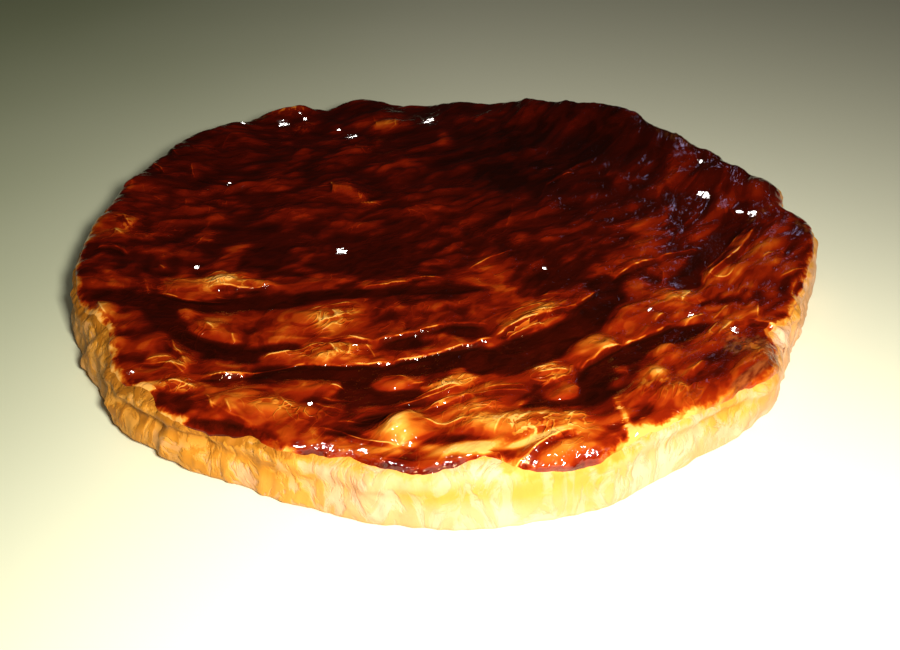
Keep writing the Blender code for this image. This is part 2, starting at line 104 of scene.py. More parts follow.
# Folds of the lid: start, end, bow, height and how far the fold runs out behind its crest.
FOLDS = [
    ((-0.062, -0.1000), (-0.040, -0.0915), 0.0012, 0.0014, 0.006),
    ((-0.044, -0.0915), (-0.014, -0.0918), -0.0010, 0.0018, 0.006),
    ((-0.020, -0.0927), (0.018, -0.0785), -0.0010, 0.0018, 0.005),
    ((0.016, -0.0795), (0.047, -0.0595), 0.0010, 0.0018, 0.005),
    ((0.042, -0.0625), (0.057, -0.0470), -0.0010, 0.0012, 0.004),
    ((0.021, -0.0800), (0.035, -0.0710), 0.0010, 0.0013, 0.003),
    ((-0.043, -0.0785), (-0.020, -0.0805), -0.0004, 0.0010, 0.004),
    ((-0.024, -0.0812), (0.004, -0.0700), -0.0010, 0.0014, 0.004),
    ((0.001, -0.0708), (0.016, -0.0718), 0.0008, 0.0011, 0.003),
    ((-0.074, -0.1010), (-0.058, -0.0980), -0.0010, 0.0014, 0.004),
    ((-0.084, -0.0500), (-0.058, -0.0485), -0.0010, 0.0013, 0.005),
    ((-0.101, -0.0530), (-0.073, -0.0570), -0.0020, 0.0013, 0.004),
    ((-0.030, -0.0492), (-0.011, -0.0440), 0.0000, 0.0010, 0.003),
    ((-0.014, -0.0435), (0.001, -0.0430), 0.0012, 0.0010, 0.003),
    ((-0.025, -0.1218), (-0.009, -0.1148), 0.0008, 0.0008, 0.003),
    ((-0.015, -0.1132), (0.008, -0.1028), -0.0005, 0.0010, 0.004),
    ((-0.006, -0.1172), (0.012, -0.1075), 0.0003, 0.0008, 0.003),
    ((0.009, -0.1082), (0.028, -0.1062), 0.0008, 0.0007, 0.003),
    ((-0.003, -0.1148), (0.010, -0.1088), 0.0009, 0.0006, 0.002),
    ((0.043, -0.0958), (0.060, -0.0820), 0.0008, 0.0018, 0.005),
    ((0.057, -0.0832), (0.079, -0.0695), -0.0012, 0.0018, 0.005),
    ((0.060, -0.0445), (0.083, -0.0270), 0.0020, 0.0016, 0.005),
    ((0.080, -0.0282), (0.099, -0.0205), 0.0008, 0.0012, 0.004),
    ((0.093, -0.0450), (0.127, -0.0010), -0.0030, 0.0020, 0.005),
    ((0.009, -0.0375), (0.029, -0.0210), 0.0010, 0.0010, 0.003),
    ((-0.035, -0.1235), (-0.011, -0.1325), -0.0005, 0.0012, 0.003),
    ((0.019, -0.1410), (0.039, -0.1265), 0.0014, 0.0012, 0.003),
    ((-0.072, -0.1115), (-0.051, -0.1235), -0.0010, 0.0004, 0.003),
    ((-0.095, -0.0955), (-0.077, -0.0992), 0.0022, 0.0009, 0.003),
    ((-0.090, -0.0830), (-0.077, -0.0992), 0.0008, 0.0008, 0.003),
    ((0.102, -0.0695), (0.114, -0.0795), 0.0015, 0.0013, 0.003),
    ((-0.132, -0.0270), (-0.118, -0.0290), 0.0030, 0.0013, 0.003),
    ((-0.131, 0.0480), (-0.122, 0.0380), 0.0004, 0.0010, 0.003),
    ((-0.128, 0.0660), (-0.120, 0.0540), -0.0004, 0.0010, 0.003),
    ((-0.050, 0.0370), (-0.046, 0.0240), 0.0004, 0.0005, 0.003),
    ((0.044, 0.0330), (0.060, 0.0480), 0.0010, 0.0013, 0.004),
]
# Bulges: centre, half length, half width, turn, height, wrinkles on top, how much thinner the glaze is.
BULGES = [
    ((-0.010, -0.1240), 0.0066, 0.0074, 0, 0.0038, 0.0, 0.7),
    ((-0.012, -0.1255), 0.0034, 0.0045, 0, 0.0003, 0.0, 1.3),
    ((0.034, -0.1345), 0.0130, 0.0040, 18, 0.0008, 0.0, 0.7),
    ((0.010, -0.1130), 0.0105, 0.0060, 8, 0.0022, 0.3, 0.8),
    ((0.010, -0.1222), 0.0090, 0.0032, 5, 0.0012, 0.2, 1.0),
    ((0.000, -0.1065), 0.0090, 0.0028, 25, 0.0008, 0.2, 0.8),
    ((0.024, -0.1235), 0.0085, 0.0070, 20, 0.0018, 0.5, 1.0),
    ((0.037, -0.1230), 0.0065, 0.0060, 20, 0.0016, 1.0, 0.7),
    ((0.003, -0.1010), 0.0100, 0.0025, 20, 0.0014, 0.4, 0.9),
    ((0.034, -0.0965), 0.0070, 0.0055, 10, 0.0018, 1.0, 0.8),
    ((0.038, -0.1070), 0.0070, 0.0040, 35, 0.0014, 0.4, 0.9),
    ((-0.015, -0.1020), 0.0070, 0.0048, 5, 0.0016, 0.0, 0.6),
    ((0.006, -0.0955), 0.0038, 0.0032, 0, 0.0012, 0.0, 0.9),
    ((-0.043, -0.1035), 0.0060, 0.0050, 0, 0.0016, 0.0, 0.7),
    ((-0.033, -0.1035), 0.0045, 0.0035, 0, 0.0014, 0.0, 1.0),
    ((-0.050, -0.0700), 0.0080, 0.0075, 0, 0.0018, 0.1, 0.3),
    ((-0.035, -0.0680), 0.0090, 0.0085, 0, 0.0018, 0.9, 0.6),
    ((-0.035, -0.0860), 0.0140, 0.0050, 3, 0.0018, 1.0, 0.7),
    ((-0.054, -0.0885), 0.0060, 0.0022, 8, 0.0012, 0.2, 0.9),
    ((-0.065, -0.0970), 0.0060, 0.0040, 5, 0.0008, 0.0, 0.7),
    ((-0.075, -0.0750), 0.0080, 0.0050, -30, 0.0016, 0.1, 0.3),
    ((-0.069, -0.0800), 0.0035, 0.0035, 0, 0.0010, 0.0, 0.8),
    ((-0.088, -0.0655), 0.0045, 0.0060, 0, 0.0014, 0.0, 0.3),
    ((-0.078, -0.0455), 0.0080, 0.0062, 0, 0.0018, 0.8, 0.9),
    ((-0.064, -0.0470), 0.0070, 0.0020, -8, 0.0012, 0.2, 1.0),
    ((-0.092, -0.0480), 0.0080, 0.0055, 10, 0.0014, 0.1, 0.4),
    ((-0.115, -0.0665), 0.0045, 0.0070, 20, 0.0014, 0.3, 0.9),
    ((-0.104, -0.0850), 0.0035, 0.0028, 0, 0.0012, 0.0, 0.8),
    ((-0.078, -0.1065), 0.0060, 0.0032, -5, 0.0014, 0.6, 1.0),
    ((-0.083, -0.0930), 0.0050, 0.0070, 30, 0.0014, 0.2, 0.5),
    ((-0.058, -0.1130), 0.0110, 0.0070, -8, 0.0018, 0.2, 0.4),
    ((-0.042, -0.1170), 0.0120, 0.0050, -10, 0.0010, 1.0, 0.5),
    ((0.031, -0.0660), 0.0100, 0.0065, 30, 0.0014, 1.0, 0.4),
    ((0.029, -0.0745), 0.0060, 0.0026, 30, 0.0010, 0.6, 0.9),
    ((0.048, -0.0825), 0.0075, 0.0065, 30, 0.0022, 0.1, 0.4),
    ((0.062, -0.0650), 0.0065, 0.0085, -20, 0.0016, 0.1, 0.3),
    ((0.070, -0.0860), 0.0060, 0.0070, 0, 0.0016, 0.1, 0.3),
    ((0.072, -0.0860), 0.0030, 0.0032, 0, 0.0006, 0.0, 0.7),
    ((0.055, -0.0960), 0.0030, 0.0028, 0, 0.0010, 0.0, 1.0),
    ((0.066, -0.1000), 0.0038, 0.0036, 0, 0.0014, 0.0, 1.1),
    ((0.079, -0.0975), 0.0055, 0.0022, 45, 0.0012, 0.0, 1.0),
    ((0.066, -0.1090), 0.0110, 0.0070, 20, 0.0014, 0.5, 0.4),
    ((0.085, -0.0530), 0.0080, 0.0042, 52, 0.0020, 0.5, 1.2),
    ((0.078, -0.0580), 0.0120, 0.0085, 50, 0.0018, 0.3, 0.3),
    ((0.073, -0.0670), 0.0025, 0.0022, 0, 0.0008, 0.0, 1.0),
    ((0.084, -0.0690), 0.0038, 0.0022, 35, 0.0010, 0.0, 1.1),
    ((0.093, -0.0760), 0.0120, 0.0050, 48, 0.0016, 0.2, 0.7),
    ((0.099, -0.0980), 0.0130, 0.0080, 42, 0.0018, 0.4, 0.4),
    ((0.101, -0.0400), 0.0080, 0.0048, 30, 0.0018, 0.1, 0.8),
    ((0.116, -0.0280), 0.0180, 0.0090, 60, 0.0020, 0.2, 0.4),
    ((0.080, -0.0150), 0.0140, 0.0060, 45, 0.0014, 0.0, 0.2),
    ((0.130, 0.0250), 0.0110, 0.0080, 80, 0.0016, 0.1, 0.4),
    ((-0.030, 0.1000), 0.0150, 0.0120, 0, 0.0020, 0.1, 0.7),
    ((0.000, 0.0830), 0.0045, 0.0090, 0, 0.0014, 0.0, 1.0),
    ((-0.080, 0.1120), 0.0120, 0.0060, 15, 0.0022, 0.5, 1.7),
    ((-0.070, 0.0960), 0.0050, 0.0060, 0, 0.0014, 0.4, 0.9),
    ((-0.110, 0.0430), 0.0035, 0.0070, 0, 0.0012, 0.1, 0.8),
    ((-0.112, 0.0640), 0.0080, 0.0060, 0, 0.0012, 0.3, 0.5),
    ((-0.062, 0.0060), 0.0110, 0.0060, 10, 0.0016, 0.2, 0.4),
    ((-0.032, 0.0180), 0.0070, 0.0030, 0, 0.0012, 0.0, 0.6),
    ((-0.127, -0.0120), 0.0050, 0.0060, 0, 0.0014, 0.1, 0.7),
    ((-0.003, 0.0150), 0.0080, 0.0060, 0, 0.0012, 0.0, 0.1),
]
# Hollows that the glaze fills: centre, half length, half width, turn, depth.
POOLS = [
    ((-0.044, -0.0960), 0.0180, 0.0040, 2, 0.0026),
    ((-0.026, -0.1030), 0.0050, 0.0085, 0, 0.0022),
    ((-0.015, -0.1080), 0.0100, 0.0034, 10, 0.0024),
    ((-0.001, -0.0910), 0.0150, 0.0040, 18, 0.0024),
    ((0.016, -0.0900), 0.0150, 0.0060, 8, 0.0016),
    ((0.033, -0.0820), 0.0170, 0.0065, 36, 0.0026),
    ((0.051, -0.0670), 0.0170, 0.0052, 52, 0.0028),
    ((0.059, -0.0480), 0.0090, 0.0055, 65, 0.0020),
    ((-0.012, -0.0825), 0.0090, 0.0026, 12, 0.0020),
    ((0.008, -0.0755), 0.0055, 0.0032, 0, 0.0020),
    ((-0.052, -0.0835), 0.0070, 0.0024, 0, 0.0018),
    ((-0.019, -0.1190), 0.0055, 0.0018, 25, 0.0020),
    ((0.062, -0.0865), 0.0170, 0.0036, 38, 0.0026),
    ((0.081, -0.0760), 0.0080, 0.0036, 30, 0.0024),
    ((0.046, -0.1040), 0.0050, 0.0100, -8, 0.0016),
    ((0.034, -0.1130), 0.0110, 0.0018, 3, 0.0016),
    ((-0.106, -0.0580), 0.0150, 0.0045, -4, 0.0020),
    ((-0.072, -0.0590), 0.0230, 0.0036, 4, 0.0026),
    ((-0.040, -0.0530), 0.0150, 0.0028, 6, 0.0022),
    ((-0.004, -0.0500), 0.0180, 0.0024, 3, 0.0018),
    ((-0.093, -0.0680), 0.0100, 0.0050, -52, 0.0022),
    ((-0.073, -0.0840), 0.0160, 0.0044, -20, 0.0026),
    ((-0.027, -0.0270), 0.0180, 0.0140, 0, 0.0026),
    ((-0.068, -0.0220), 0.0080, 0.0150, 0, 0.0022),
    ((0.103, -0.0210), 0.0240, 0.0046, 53, 0.0028),
    ((0.088, -0.0480), 0.0100, 0.0040, 55, 0.0024),
    ((0.040, -0.0430), 0.0180, 0.0060, 40, 0.0012),
    ((0.003, -0.1290), 0.0130, 0.0022, 3, 0.0008),
    ((-0.021, -0.1285), 0.0120, 0.0018, -20, 0.0018),
    ((-0.062, -0.1240), 0.0100, 0.0020, -12, 0.0018),
    ((-0.132, -0.0280), 0.0026, 0.0040, 0, 0.0018),
    ((0.045, 0.0700), 0.0400, 0.0300, 20, 0.0010),
    ((0.116, 0.0000), 0.0120, 0.0040, 60, 0.0022),
    ((-0.020, 0.0900), 0.0160, 0.0050, -10, 0.0012),
]
# Dark or pale glaze that follows no relief: centre, half length, half width, turn, amount.
SPOTS = [
    ((0.055, 0.0850), 0.0420, 0.0380, 20, 0.9),
    ((0.020, 0.0400), 0.0240, 0.0400, 0, 0.6),
    ((0.0525, -0.1210), 0.0010, 0.0090, 10, -1.3),
    ((0.054, -0.1280), 0.0018, 0.0030, 20, -1.2),
    ((-0.138, -0.0120), 0.0050, 0.0200, 0, -1.1),
    ((0.012, -0.1335), 0.0085, 0.0022, 8, -1.7),
    ((0.027, -0.1305), 0.0090, 0.0014, 18, -2.0),
    ((-0.088, -0.1060), 0.0040, 0.0026, 30, -1.8),
    # Along the front strip, above the lips, the long pale spots are thin glaze and partly painted light, as
    # the front lies nearest the flash.
    ((-0.032, -0.1290), 0.0200, 0.0045, -8, -0.7),
    ((0.000, -0.1335), 0.0200, 0.0040, 3, -1.5),
    ((0.045, -0.1290), 0.0140, 0.0060, 20, -0.8),
    ((0.072, -0.1170), 0.0160, 0.0060, 28, -0.5),
    ((0.001, 0.0915), 0.0080, 0.0040, 60, -0.9),
    ((-0.036, 0.0690), 0.0070, 0.0040, 10, -0.7),
    ((-0.013, -0.0250), 0.0080, 0.0060, 0, -0.5),
]
# Scorched places: centre, half length, half width, turn, amount.
SCORCHES = [
    ((0.097, -0.0850), 0.0085, 0.0065, 10, 1.0),
    ((0.104, -0.0920), 0.0022, 0.0110, 0, 1.0),
    ((0.094, -0.1030), 0.0140, 0.0022, 42, 0.9),
    ((0.128, 0.0020), 0.0110, 0.0030, 40, 0.5),
    ((0.110, 0.0760), 0.0200, 0.0060, -55, 0.5),
    ((0.141, -0.0100), 0.0030, 0.0100, 10, 0.6),
    ((-0.093, 0.1040), 0.0060, 0.0040, 30, 0.7),
]
# Where the camera is, its lens and its tilt, and where the flash is.
EYE = (0.00275, -0.30334, 0.18362)
LENS = 34
TILT = 54.44
FLASH = (0.075, -0.33, 0.225)
# Drops of glaze with a side that throws the flash back to the camera: centre and radius.
BEADS = [
    ((-0.039, -0.0220), 0.0022),
    ((-0.008, 0.1070), 0.0034),
    ((-0.091, -0.0350), 0.0011),
    ((-0.063, -0.0490), 0.0011),
    ((0.071, -0.0640), 0.0012),
    ((0.097, -0.0760), 0.0017),
    ((-0.0095, -0.1300), 0.0026),
    ((-0.086, 0.1090), 0.0012),
    ((-0.076, 0.1150), 0.0014),
    ((-0.070, 0.1040), 0.0011),
    ((0.121, 0.0060), 0.0016),
    ((0.111, 0.0240), 0.0026),
    ((0.116, 0.0520), 0.0015),
    ((0.125, 0.0030), 0.0020),
    ((-0.099, 0.0950), 0.0012),
    ((-0.080, 0.0980), 0.0028),
    ((-0.073, 0.1080), 0.0010),
    ((-0.045, 0.0870), 0.0026),
    ((-0.052, 0.0940), 0.0012),
    ((-0.094, 0.0360), 0.0010),
    ((0.038, -0.0345), 0.0010),
    ((-0.0385, -0.1130), 0.0010),
    ((-0.095, -0.0995), 0.0010),
    ((-0.036, -0.1325), 0.0042),
    ((-0.031, -0.1315), 0.0026),
    ((-0.026, -0.1345), 0.0036),
    ((-0.022, -0.1335), 0.0024),
    ((-0.012, -0.1390), 0.0028),
    ((0.000, -0.1390), 0.0032),
    ((0.007, -0.1365), 0.0028),
    ((0.029, -0.1385), 0.0032),
    ((0.040, -0.1345), 0.0036),
    ((0.0535, -0.1275), 0.0014),
    ((-0.028, -0.0850), 0.0010),
    ((0.085, -0.0650), 0.0011),
]
# How far a bead's fields reach, in radii.
BEAD_REACH = 2.8

# The lid's swirl: how its seeded relief leans, bends and wanders.
LEAN = 0.40
TWIST = 3.0
BEND = 1.85
WARP_LENGTH = 0.036
WARP = 0.009

# Seeded relief: length, width and height, and how much calmer it is in places.
LUMP_LENGTH = 0.030
LUMP_WIDTH = 0.018
LUMP_HEIGHT = 0.0046
DIMPLE_LENGTH = 0.0125
DIMPLE_WIDTH = 0.0082
DIMPLE_HEIGHT = 0.0024
DENT_LENGTH = 0.0120
DENT_WIDTH = 0.0085
DENT_HEIGHT = 0.0026
BUMP_LENGTH = 0.0056
BUMP_WIDTH = 0.0038
BUMP_HEIGHT = 0.0007
SWELL_LENGTH = 0.075
SWELL_DEPTH = 0.0016
MEAN_FOLD = 0.2
FRONT_CALM = 0.55
RIM_CALM = 0.40
BACK_CALM = 0.75
OUTLINE_DEPTH = 0.0020
NICK_DEPTH = 0.0014
RIM_DEPTH = 0.0018
NOISE_CELLS = 64
SEED = 27

# A fold's steep side, the trough at its foot, how its crest sways, the band on either side
# of the crest that its colours follow, and the height that gives them full strength.
FOLD_DROP = 0.0010
TROUGH_AT = 0.0019
TROUGH_WIDTH = 0.0010
TROUGH_DEPTH = 0.35
CREST_LENGTH = 0.005
CREST_SWAY = 0.0007
FOLD_BAND = 0.0025
FULL_FOLD = 0.0016

# The wall.
PLEATS = 26
PLEAT_DEPTH = 0.0022
CRAGS = 80
CRAG_DEPTH = 0.0006
LEAF_STEP = 1.1
SEAM_LEVEL = 0.60
SEAM_SWAY = 0.16
SEAM_WIDTH = 0.16
SEAM_DEPTH = 0.00288

# Relief too fine for the solid.
CREASE_LENGTH = 0.010
CREASE_WIDTH = 0.0024
CREASE_DEPTH = 0.0008
WRINKLE_HEIGHT = 0.0006
LAYER_DEPTH = 0.0010
FLAKE_DEPTH = 0.0009

# Glaze: its level in the hollows, and how much thicker or thinner it is in places.
GLAZE_DEPTH = 0.0003
GLAZE_ROUNDING = 0.0004
# Painted shade: how much thicker, so darker, the glaze is made towards the back, where the light falls off.
BACK_PAINTED_SHADE = 0.75
BULGE_GLAZE = 0.6
# How much lighter a wrinkle's crest is painted: thin glaze with a painted highlight in it.
WRINKLE_GLOW = 0.45
# Fields in metres are stored in millimetres.
MM = 1000

# Thin wrinkles of the pastry sheet: start, end, bow and strength.
WRINKLES = [
    ((-0.019, -0.1010), (-0.010, -0.0996), 0.0018, 0.8),
    ((-0.010, -0.1027), (0.001, -0.0995), 0.0006, 0.7),
    ((-0.010, -0.1096), (0.007, -0.1030), 0.0008, 0.8),
    ((-0.004, -0.1150), (0.006, -0.1092), 0.0004, 0.7),
    ((0.013, -0.1046), (0.026, -0.1030), 0.0006, 0.6),
    ((0.028, -0.0957), (0.037, -0.0940), -0.0004, 0.9),
    ((0.029, -0.0980), (0.040, -0.0955), -0.0006, 0.9),
    ((0.027, -0.1000), (0.036, -0.1000), -0.0016, 0.7),
    ((0.030, -0.1045), (0.039, -0.0990), 0.0004, 0.7),
    ((0.022, -0.1140), (0.032, -0.1118), 0.0006, 0.5),
    ((0.015, -0.1285), (0.021, -0.1180), 0.0012, 0.4),
            ((0.034, -0.1265), (0.039, -0.1190), 0.0004, 0.3),
    ((-0.006, -0.1215), (0.009, -0.1200), -0.0012, 0.7),
    ((-0.016, -0.1215), (-0.007, -0.1200), 0.0020, 0.6),
    ((-0.038, -0.1120), (-0.028, -0.1160), -0.0006, 0.6),
    ((-0.048, -0.1100), (-0.042, -0.1160), -0.0006, 0.5),
    ((-0.036, -0.1090), (-0.025, -0.1105), -0.0010, 0.7),
    ((-0.034, -0.1040), (-0.029, -0.1050), 0.0010, 0.8),
    ((-0.030, -0.1215), (-0.018, -0.1205), -0.0004, 0.7),
    ((-0.046, -0.0860), (-0.022, -0.0810), 0.0024, 0.8),
    ((-0.038, -0.0830), (-0.032, -0.0895), 0.0004, 0.7),
    ((-0.030, -0.0825), (-0.030, -0.0900), 0.0008, 0.6),
    ((-0.025, -0.0825), (-0.021, -0.0900), 0.0004, 0.6),
    ((-0.042, -0.0712), (-0.031, -0.0650), -0.0010, 0.7),
    ((-0.046, -0.0640), (-0.030, -0.0588), 0.0012, 0.8),
    ((-0.038, -0.0640), (-0.035, -0.0695), 0.0004, 0.6),
    ((-0.057, -0.0892), (-0.047, -0.0870), 0.0, 0.9),
    ((-0.072, -0.1008), (-0.060, -0.0990), -0.0006, 0.8),
    ((-0.069, -0.0770), (-0.067, -0.0812), 0.0, 0.7),
    ((-0.079, -0.0718), (-0.075, -0.0762), 0.0004, 0.7),
    ((-0.084, -0.0480), (-0.074, -0.0462), -0.0008, 0.9),
    ((-0.084, -0.0425), (-0.078, -0.0410), 0.0008, 0.7),
    ((-0.080, -0.0545), (-0.069, -0.0540), -0.0012, 0.6),
    ((-0.105, -0.0335), (-0.102, -0.0368), 0.0, 0.7),
    ((-0.108, -0.0440), (-0.103, -0.0545), 0.0004, 0.4),
    ((-0.118, -0.0600), (-0.112, -0.0705), -0.0006, 0.7),
    ((-0.088, -0.0812), (-0.081, -0.0925), -0.0004, 0.8),
    ((-0.093, -0.0935), (-0.084, -0.0925), 0.0004, 0.6),
    ((-0.085, -0.0950), (-0.078, -0.1002), 0.0, 0.7),
    ((-0.070, -0.1100), (-0.065, -0.1180), 0.0, 0.6),
    ((-0.063, -0.1140), (-0.060, -0.1195), 0.0, 0.6),
    ((-0.083, -0.1060), (-0.073, -0.1078), 0.0010, 0.6),
    ((0.024, -0.0655), (0.036, -0.0590), 0.0008, 0.6),
    ((0.026, -0.0680), (0.042, -0.0608), -0.0004, 0.6),
    ((0.029, -0.0595), (0.040, -0.0555), 0.0004, 0.4),
    ((0.034, -0.0535), (0.043, -0.0525), 0.0008, 0.4),
    ((0.071, -0.0715), (0.076, -0.0650), 0.0, 0.8),
    ((0.081, -0.0725), (0.090, -0.0640), 0.0004, 0.9),
    ((0.087, -0.0780), (0.093, -0.0700), -0.0003, 0.8),
    ((0.090, -0.0800), (0.098, -0.0700), 0.0003, 0.7),
    ((0.091, -0.0690), (0.099, -0.0600), 0.0, 0.6),
    ((0.106, -0.0700), (0.1085, -0.0610), 0.0, 0.7),
    ((0.083, -0.0590), (0.089, -0.0490), 0.0003, 1.0),
    ((0.076, -0.1010), (0.082, -0.0940), 0.0, 0.7),
    ((0.095, -0.0380), (0.107, -0.0380), -0.0060, 0.7),
    ((0.097, -0.0360), (0.111, -0.0200), 0.0004, 0.6),
    ((0.118, -0.0330), (0.125, -0.0280), 0.0006, 0.6),
    ((0.120, -0.0470), (0.133, -0.0385), 0.0004, 0.6),
    ((0.121, -0.0570), (0.127, -0.0460), 0.0, 0.5),
    ((0.103, -0.0550), (0.107, -0.0495), 0.0, 0.4),
    ((0.080, -0.0310), (0.079, -0.0450), 0.0016, 0.5),
    ((0.121, -0.0070), (0.109, -0.0220), -0.0006, 0.9),
    ((0.106, 0.0100), (0.090, -0.0150), -0.0012, 0.5),
    ((0.075, -0.0090), (0.070, -0.0165), 0.0002, 0.6),
    ((0.065, 0.0580), (0.047, 0.0380), -0.0010, 0.8),
    ((0.046, 0.0380), (0.041, 0.0200), -0.0004, 0.4),
    ((0.079, 0.0580), (0.072, 0.0420), 0.0, 0.4),
    ((0.029, 0.0160), (0.025, -0.0050), 0.0005, 0.4),
    ((0.041, 0.0110), (0.037, 0.0020), 0.0, 0.3),
    ((0.096, 0.0750), (0.107, 0.0580), 0.0, 0.3),
    ((0.054, 0.1100), (0.050, 0.0950), 0.0, 0.3),
    ((-0.036, 0.1070), (-0.033, 0.0950), 0.0, 0.4),
    ((-0.025, 0.1050), (-0.024, 0.0950), 0.0, 0.4),
    ((-0.046, 0.0820), (-0.034, 0.0640), -0.0006, 0.4),
    ((-0.101, 0.0820), (-0.103, 0.0650), -0.0008, 0.4),
    ((-0.117, 0.0850), (-0.109, 0.0880), 0.0004, 0.3),
    ((-0.128, 0.0690), (-0.123, 0.0640), 0.0003, 0.8),
    ((-0.117, 0.0650), (-0.108, 0.0640), -0.0030, 0.6),
    ((-0.124, 0.0580), (-0.121, 0.0515), 0.0, 0.6),
    ((-0.130, 0.0460), (-0.124, 0.0390), -0.0004, 0.6),
    ((-0.113, 0.0500), (-0.109, 0.0370), -0.0006, 0.8),
    ((-0.050, 0.0370), (-0.047, 0.0240), 0.0004, 0.6),
    ((-0.056, 0.0195), (-0.049, 0.0225), 0.0010, 0.6),
    ((-0.036, 0.0172), (-0.025, 0.0155), 0.0006, 0.7),
    ((-0.014, 0.0185), (-0.011, 0.0120), 0.0, 0.4),
    ((-0.009, 0.0080), (-0.006, 0.0020), 0.0, 0.3),
    ((-0.109, 0.0200), (-0.108, 0.0140), 0.0003, 0.4),
    ((-0.122, 0.0180), (-0.117, 0.0155), 0.0, 0.4),
    ((-0.095, 0.0025), (-0.096, -0.0065), 0.0008, 0.4),
    ((-0.094, -0.0120), (-0.097, -0.0200), 0.0004, 0.4),
    ((-0.060, -0.0170), (-0.053, -0.0160), 0.0010, 0.4),
    ((-0.129, 0.0000), (-0.123, -0.0080), 0.0, 0.8),
    ((-0.129, -0.0100), (-0.124, -0.0150), -0.0004, 0.8),
    ((-0.128, -0.0220), (-0.117, -0.0290), 0.0004, 0.5),
]
# Places with bare golden flecks: centre, half length, half width, turn, amount.
FLECKS = [
    ((-0.079, 0.1120), 0.0120, 0.0070, 10, 1.0),
    ((-0.092, 0.1080), 0.0060, 0.0050, 30, 1.0),
    ((-0.070, 0.0960), 0.0050, 0.0060, 0, 0.8),
    ((-0.135, 0.0280), 0.0040, 0.0180, 0, 0.7),
    ((-0.127, -0.0060), 0.0060, 0.0100, 0, 0.8),
    ((0.0525, -0.1210), 0.0018, 0.0090, 8, 1.6),
    ((0.024, -0.1230), 0.0080, 0.0060, 0, 1.1),
    ((0.034, -0.0965), 0.0070, 0.0050, 0, 0.5),
    ((-0.035, -0.0860), 0.0140, 0.0050, 3, 0.5),
    ((-0.035, -0.0660), 0.0090, 0.0080, 0, 0.6),
    ((-0.078, -0.0455), 0.0080, 0.0060, 0, 0.6),
    ((0.038, -0.0550), 0.0060, 0.0060, 30, 0.4),
    ((0.099, -0.0880), 0.0080, 0.0080, 0, 0.7),
    ((0.118, 0.0060), 0.0100, 0.0060, -30, 0.4),
    ((-0.078, -0.1065), 0.0060, 0.0030, -5, 1.0),
    ((0.027, -0.1300), 0.0090, 0.0020, 14, 0.8),
    ((0.066, -0.1070), 0.0100, 0.0070, 20, 0.4),
]

# Folds of the wall that overlap like leaves: angle, width, lean from foot to lid, all in degrees, and height.
LEAVES = [
    (-162, 7, 4, 0.0012),
    (-150, 9, 6, 0.0028),
    (-140, 3, 9, 0.0012),
    (-134, 5, -5, 0.0024),
    (-126, 4, 3, 0.0018),
    (-115, 8, -3, 0.0010),
    (-101, 6, 4, 0.0010),
    (-70, 7, -4, 0.0008),
    (-50, 5, 3, 0.0012),
    (-24, 7, -5, 0.0016),
    (20, 8, -3, 0.0016),
    (60, 6, 3, 0.0014),
    (120, 8, -5, 0.0018),
    (150, 7, 4, 0.0018),
]

# The glaze's edge: how far down the shoulder it ends, and how far it varies.
EDGE_DROP = 0.0052
EDGE_BUMPS = [
    (-147, 4, -0.0020),
    (-120, 5, 0.0010),
    (-101, 8, -0.0024),
    (-91, 5, -0.0016),
    (-84.5, 3.6, -0.0020),
    (-75, 5, 0.0014),
    (-129, 2.8, -0.0032),
    (-35, 2.2, -0.0050),
    (-42, 4, 0.0010),
]
# Where the glaze ends in a rounded lip and not in thin streaks: angle, how wide, how much.
LIPS = [(-104, 3, 0.7), (-96, 5, 1.0), (-89, 3, 1.0), (-76.5, 4, 1.0), (-49, 8, 0.6)]
EDGE_SWAY = 0.0026
EDGE_RAG = 0.0011
# The glaze's skin: its thickness, its round edge, and how it dips under that edge, over the crust.
SKIN = 0.0006
SKIN_ROLL = 0.0015
OVERLAP = 0.0014
TUCK = 1.1
# How far inside the rim's crest the crust starts, and how deep it lies under the lid.
CRUST_INSET = 0.012
SINK = 0.002

# Burnt flakes: angle, radius, height, half length and tilt.
CRUMBS = [
    (-47, 0.1405, 0.0125, 0.0016, 30),
    (-95.8, 0.1395, 0.0125, 0.0013, -50),
    (-36, 0.1385, 0.0150, 0.0010, 70),
]

# Mesh density.
LID_CELLS = 288
CROWDING = 0.2
LID_RINGS = 12
CRUST_SIDES = 1400
CRUST_STEP = 0.00055

# Colours by the glaze's thickness, and by how toasted or burnt the pastry is; painted shade and painted
# highlights are folded into these scales.
THICKEST = 5.0
GLAZE_COLOURS = [
    (0.0, (0.88, 0.56, 0.20)),
    (0.5, (0.74, 0.29, 0.034)),
    (1.0, (0.50, 0.120, 0.0075)),
    (1.5, (0.33, 0.038, 0.0020)),
    (2.0, (0.21, 0.0110, 0.0009)),
    (2.6, (0.108, 0.0044, 0.0007)),
    (3.4, (0.050, 0.0026, 0.0005)),
    (5.0, (0.016, 0.0015, 0.0003)),
]
CRUST_COLOURS = [
    (0.0, (0.67, 0.405, 0.245)),
    (0.3, (0.66, 0.320, 0.135)),
    (0.55, (0.64, 0.275, 0.040)),
    (0.8, (0.55, 0.205, 0.014)),
    (1.0, (0.36, 0.12, 0.007)),
]
CHAR_COLOURS = [(0.40, (0.035, 0.008, 0.003)), (0.62, (0.260, 0.075, 0.016))]
CRUMB_COLOURS = [(0.35, (0.05, 0.018, 0.008)), (0.65, (0.28, 0.10, 0.03))]
# The table: olive towards the left, as painted shade, and pale elsewhere.
TABLE_COLOURS = [(0.0, (0.50, 0.55, 0.32)), (1.0, (0.84, 0.84, 0.62))]


def fade(value):
    """Eases a value from 0 to 1."""
    value = np.clip(value, 0, 1)
    return value * value * (3 - 2 * value)


def bell(value):
    """1 at 0, falling to 0 on both sides."""
    return np.exp(-(value**2))


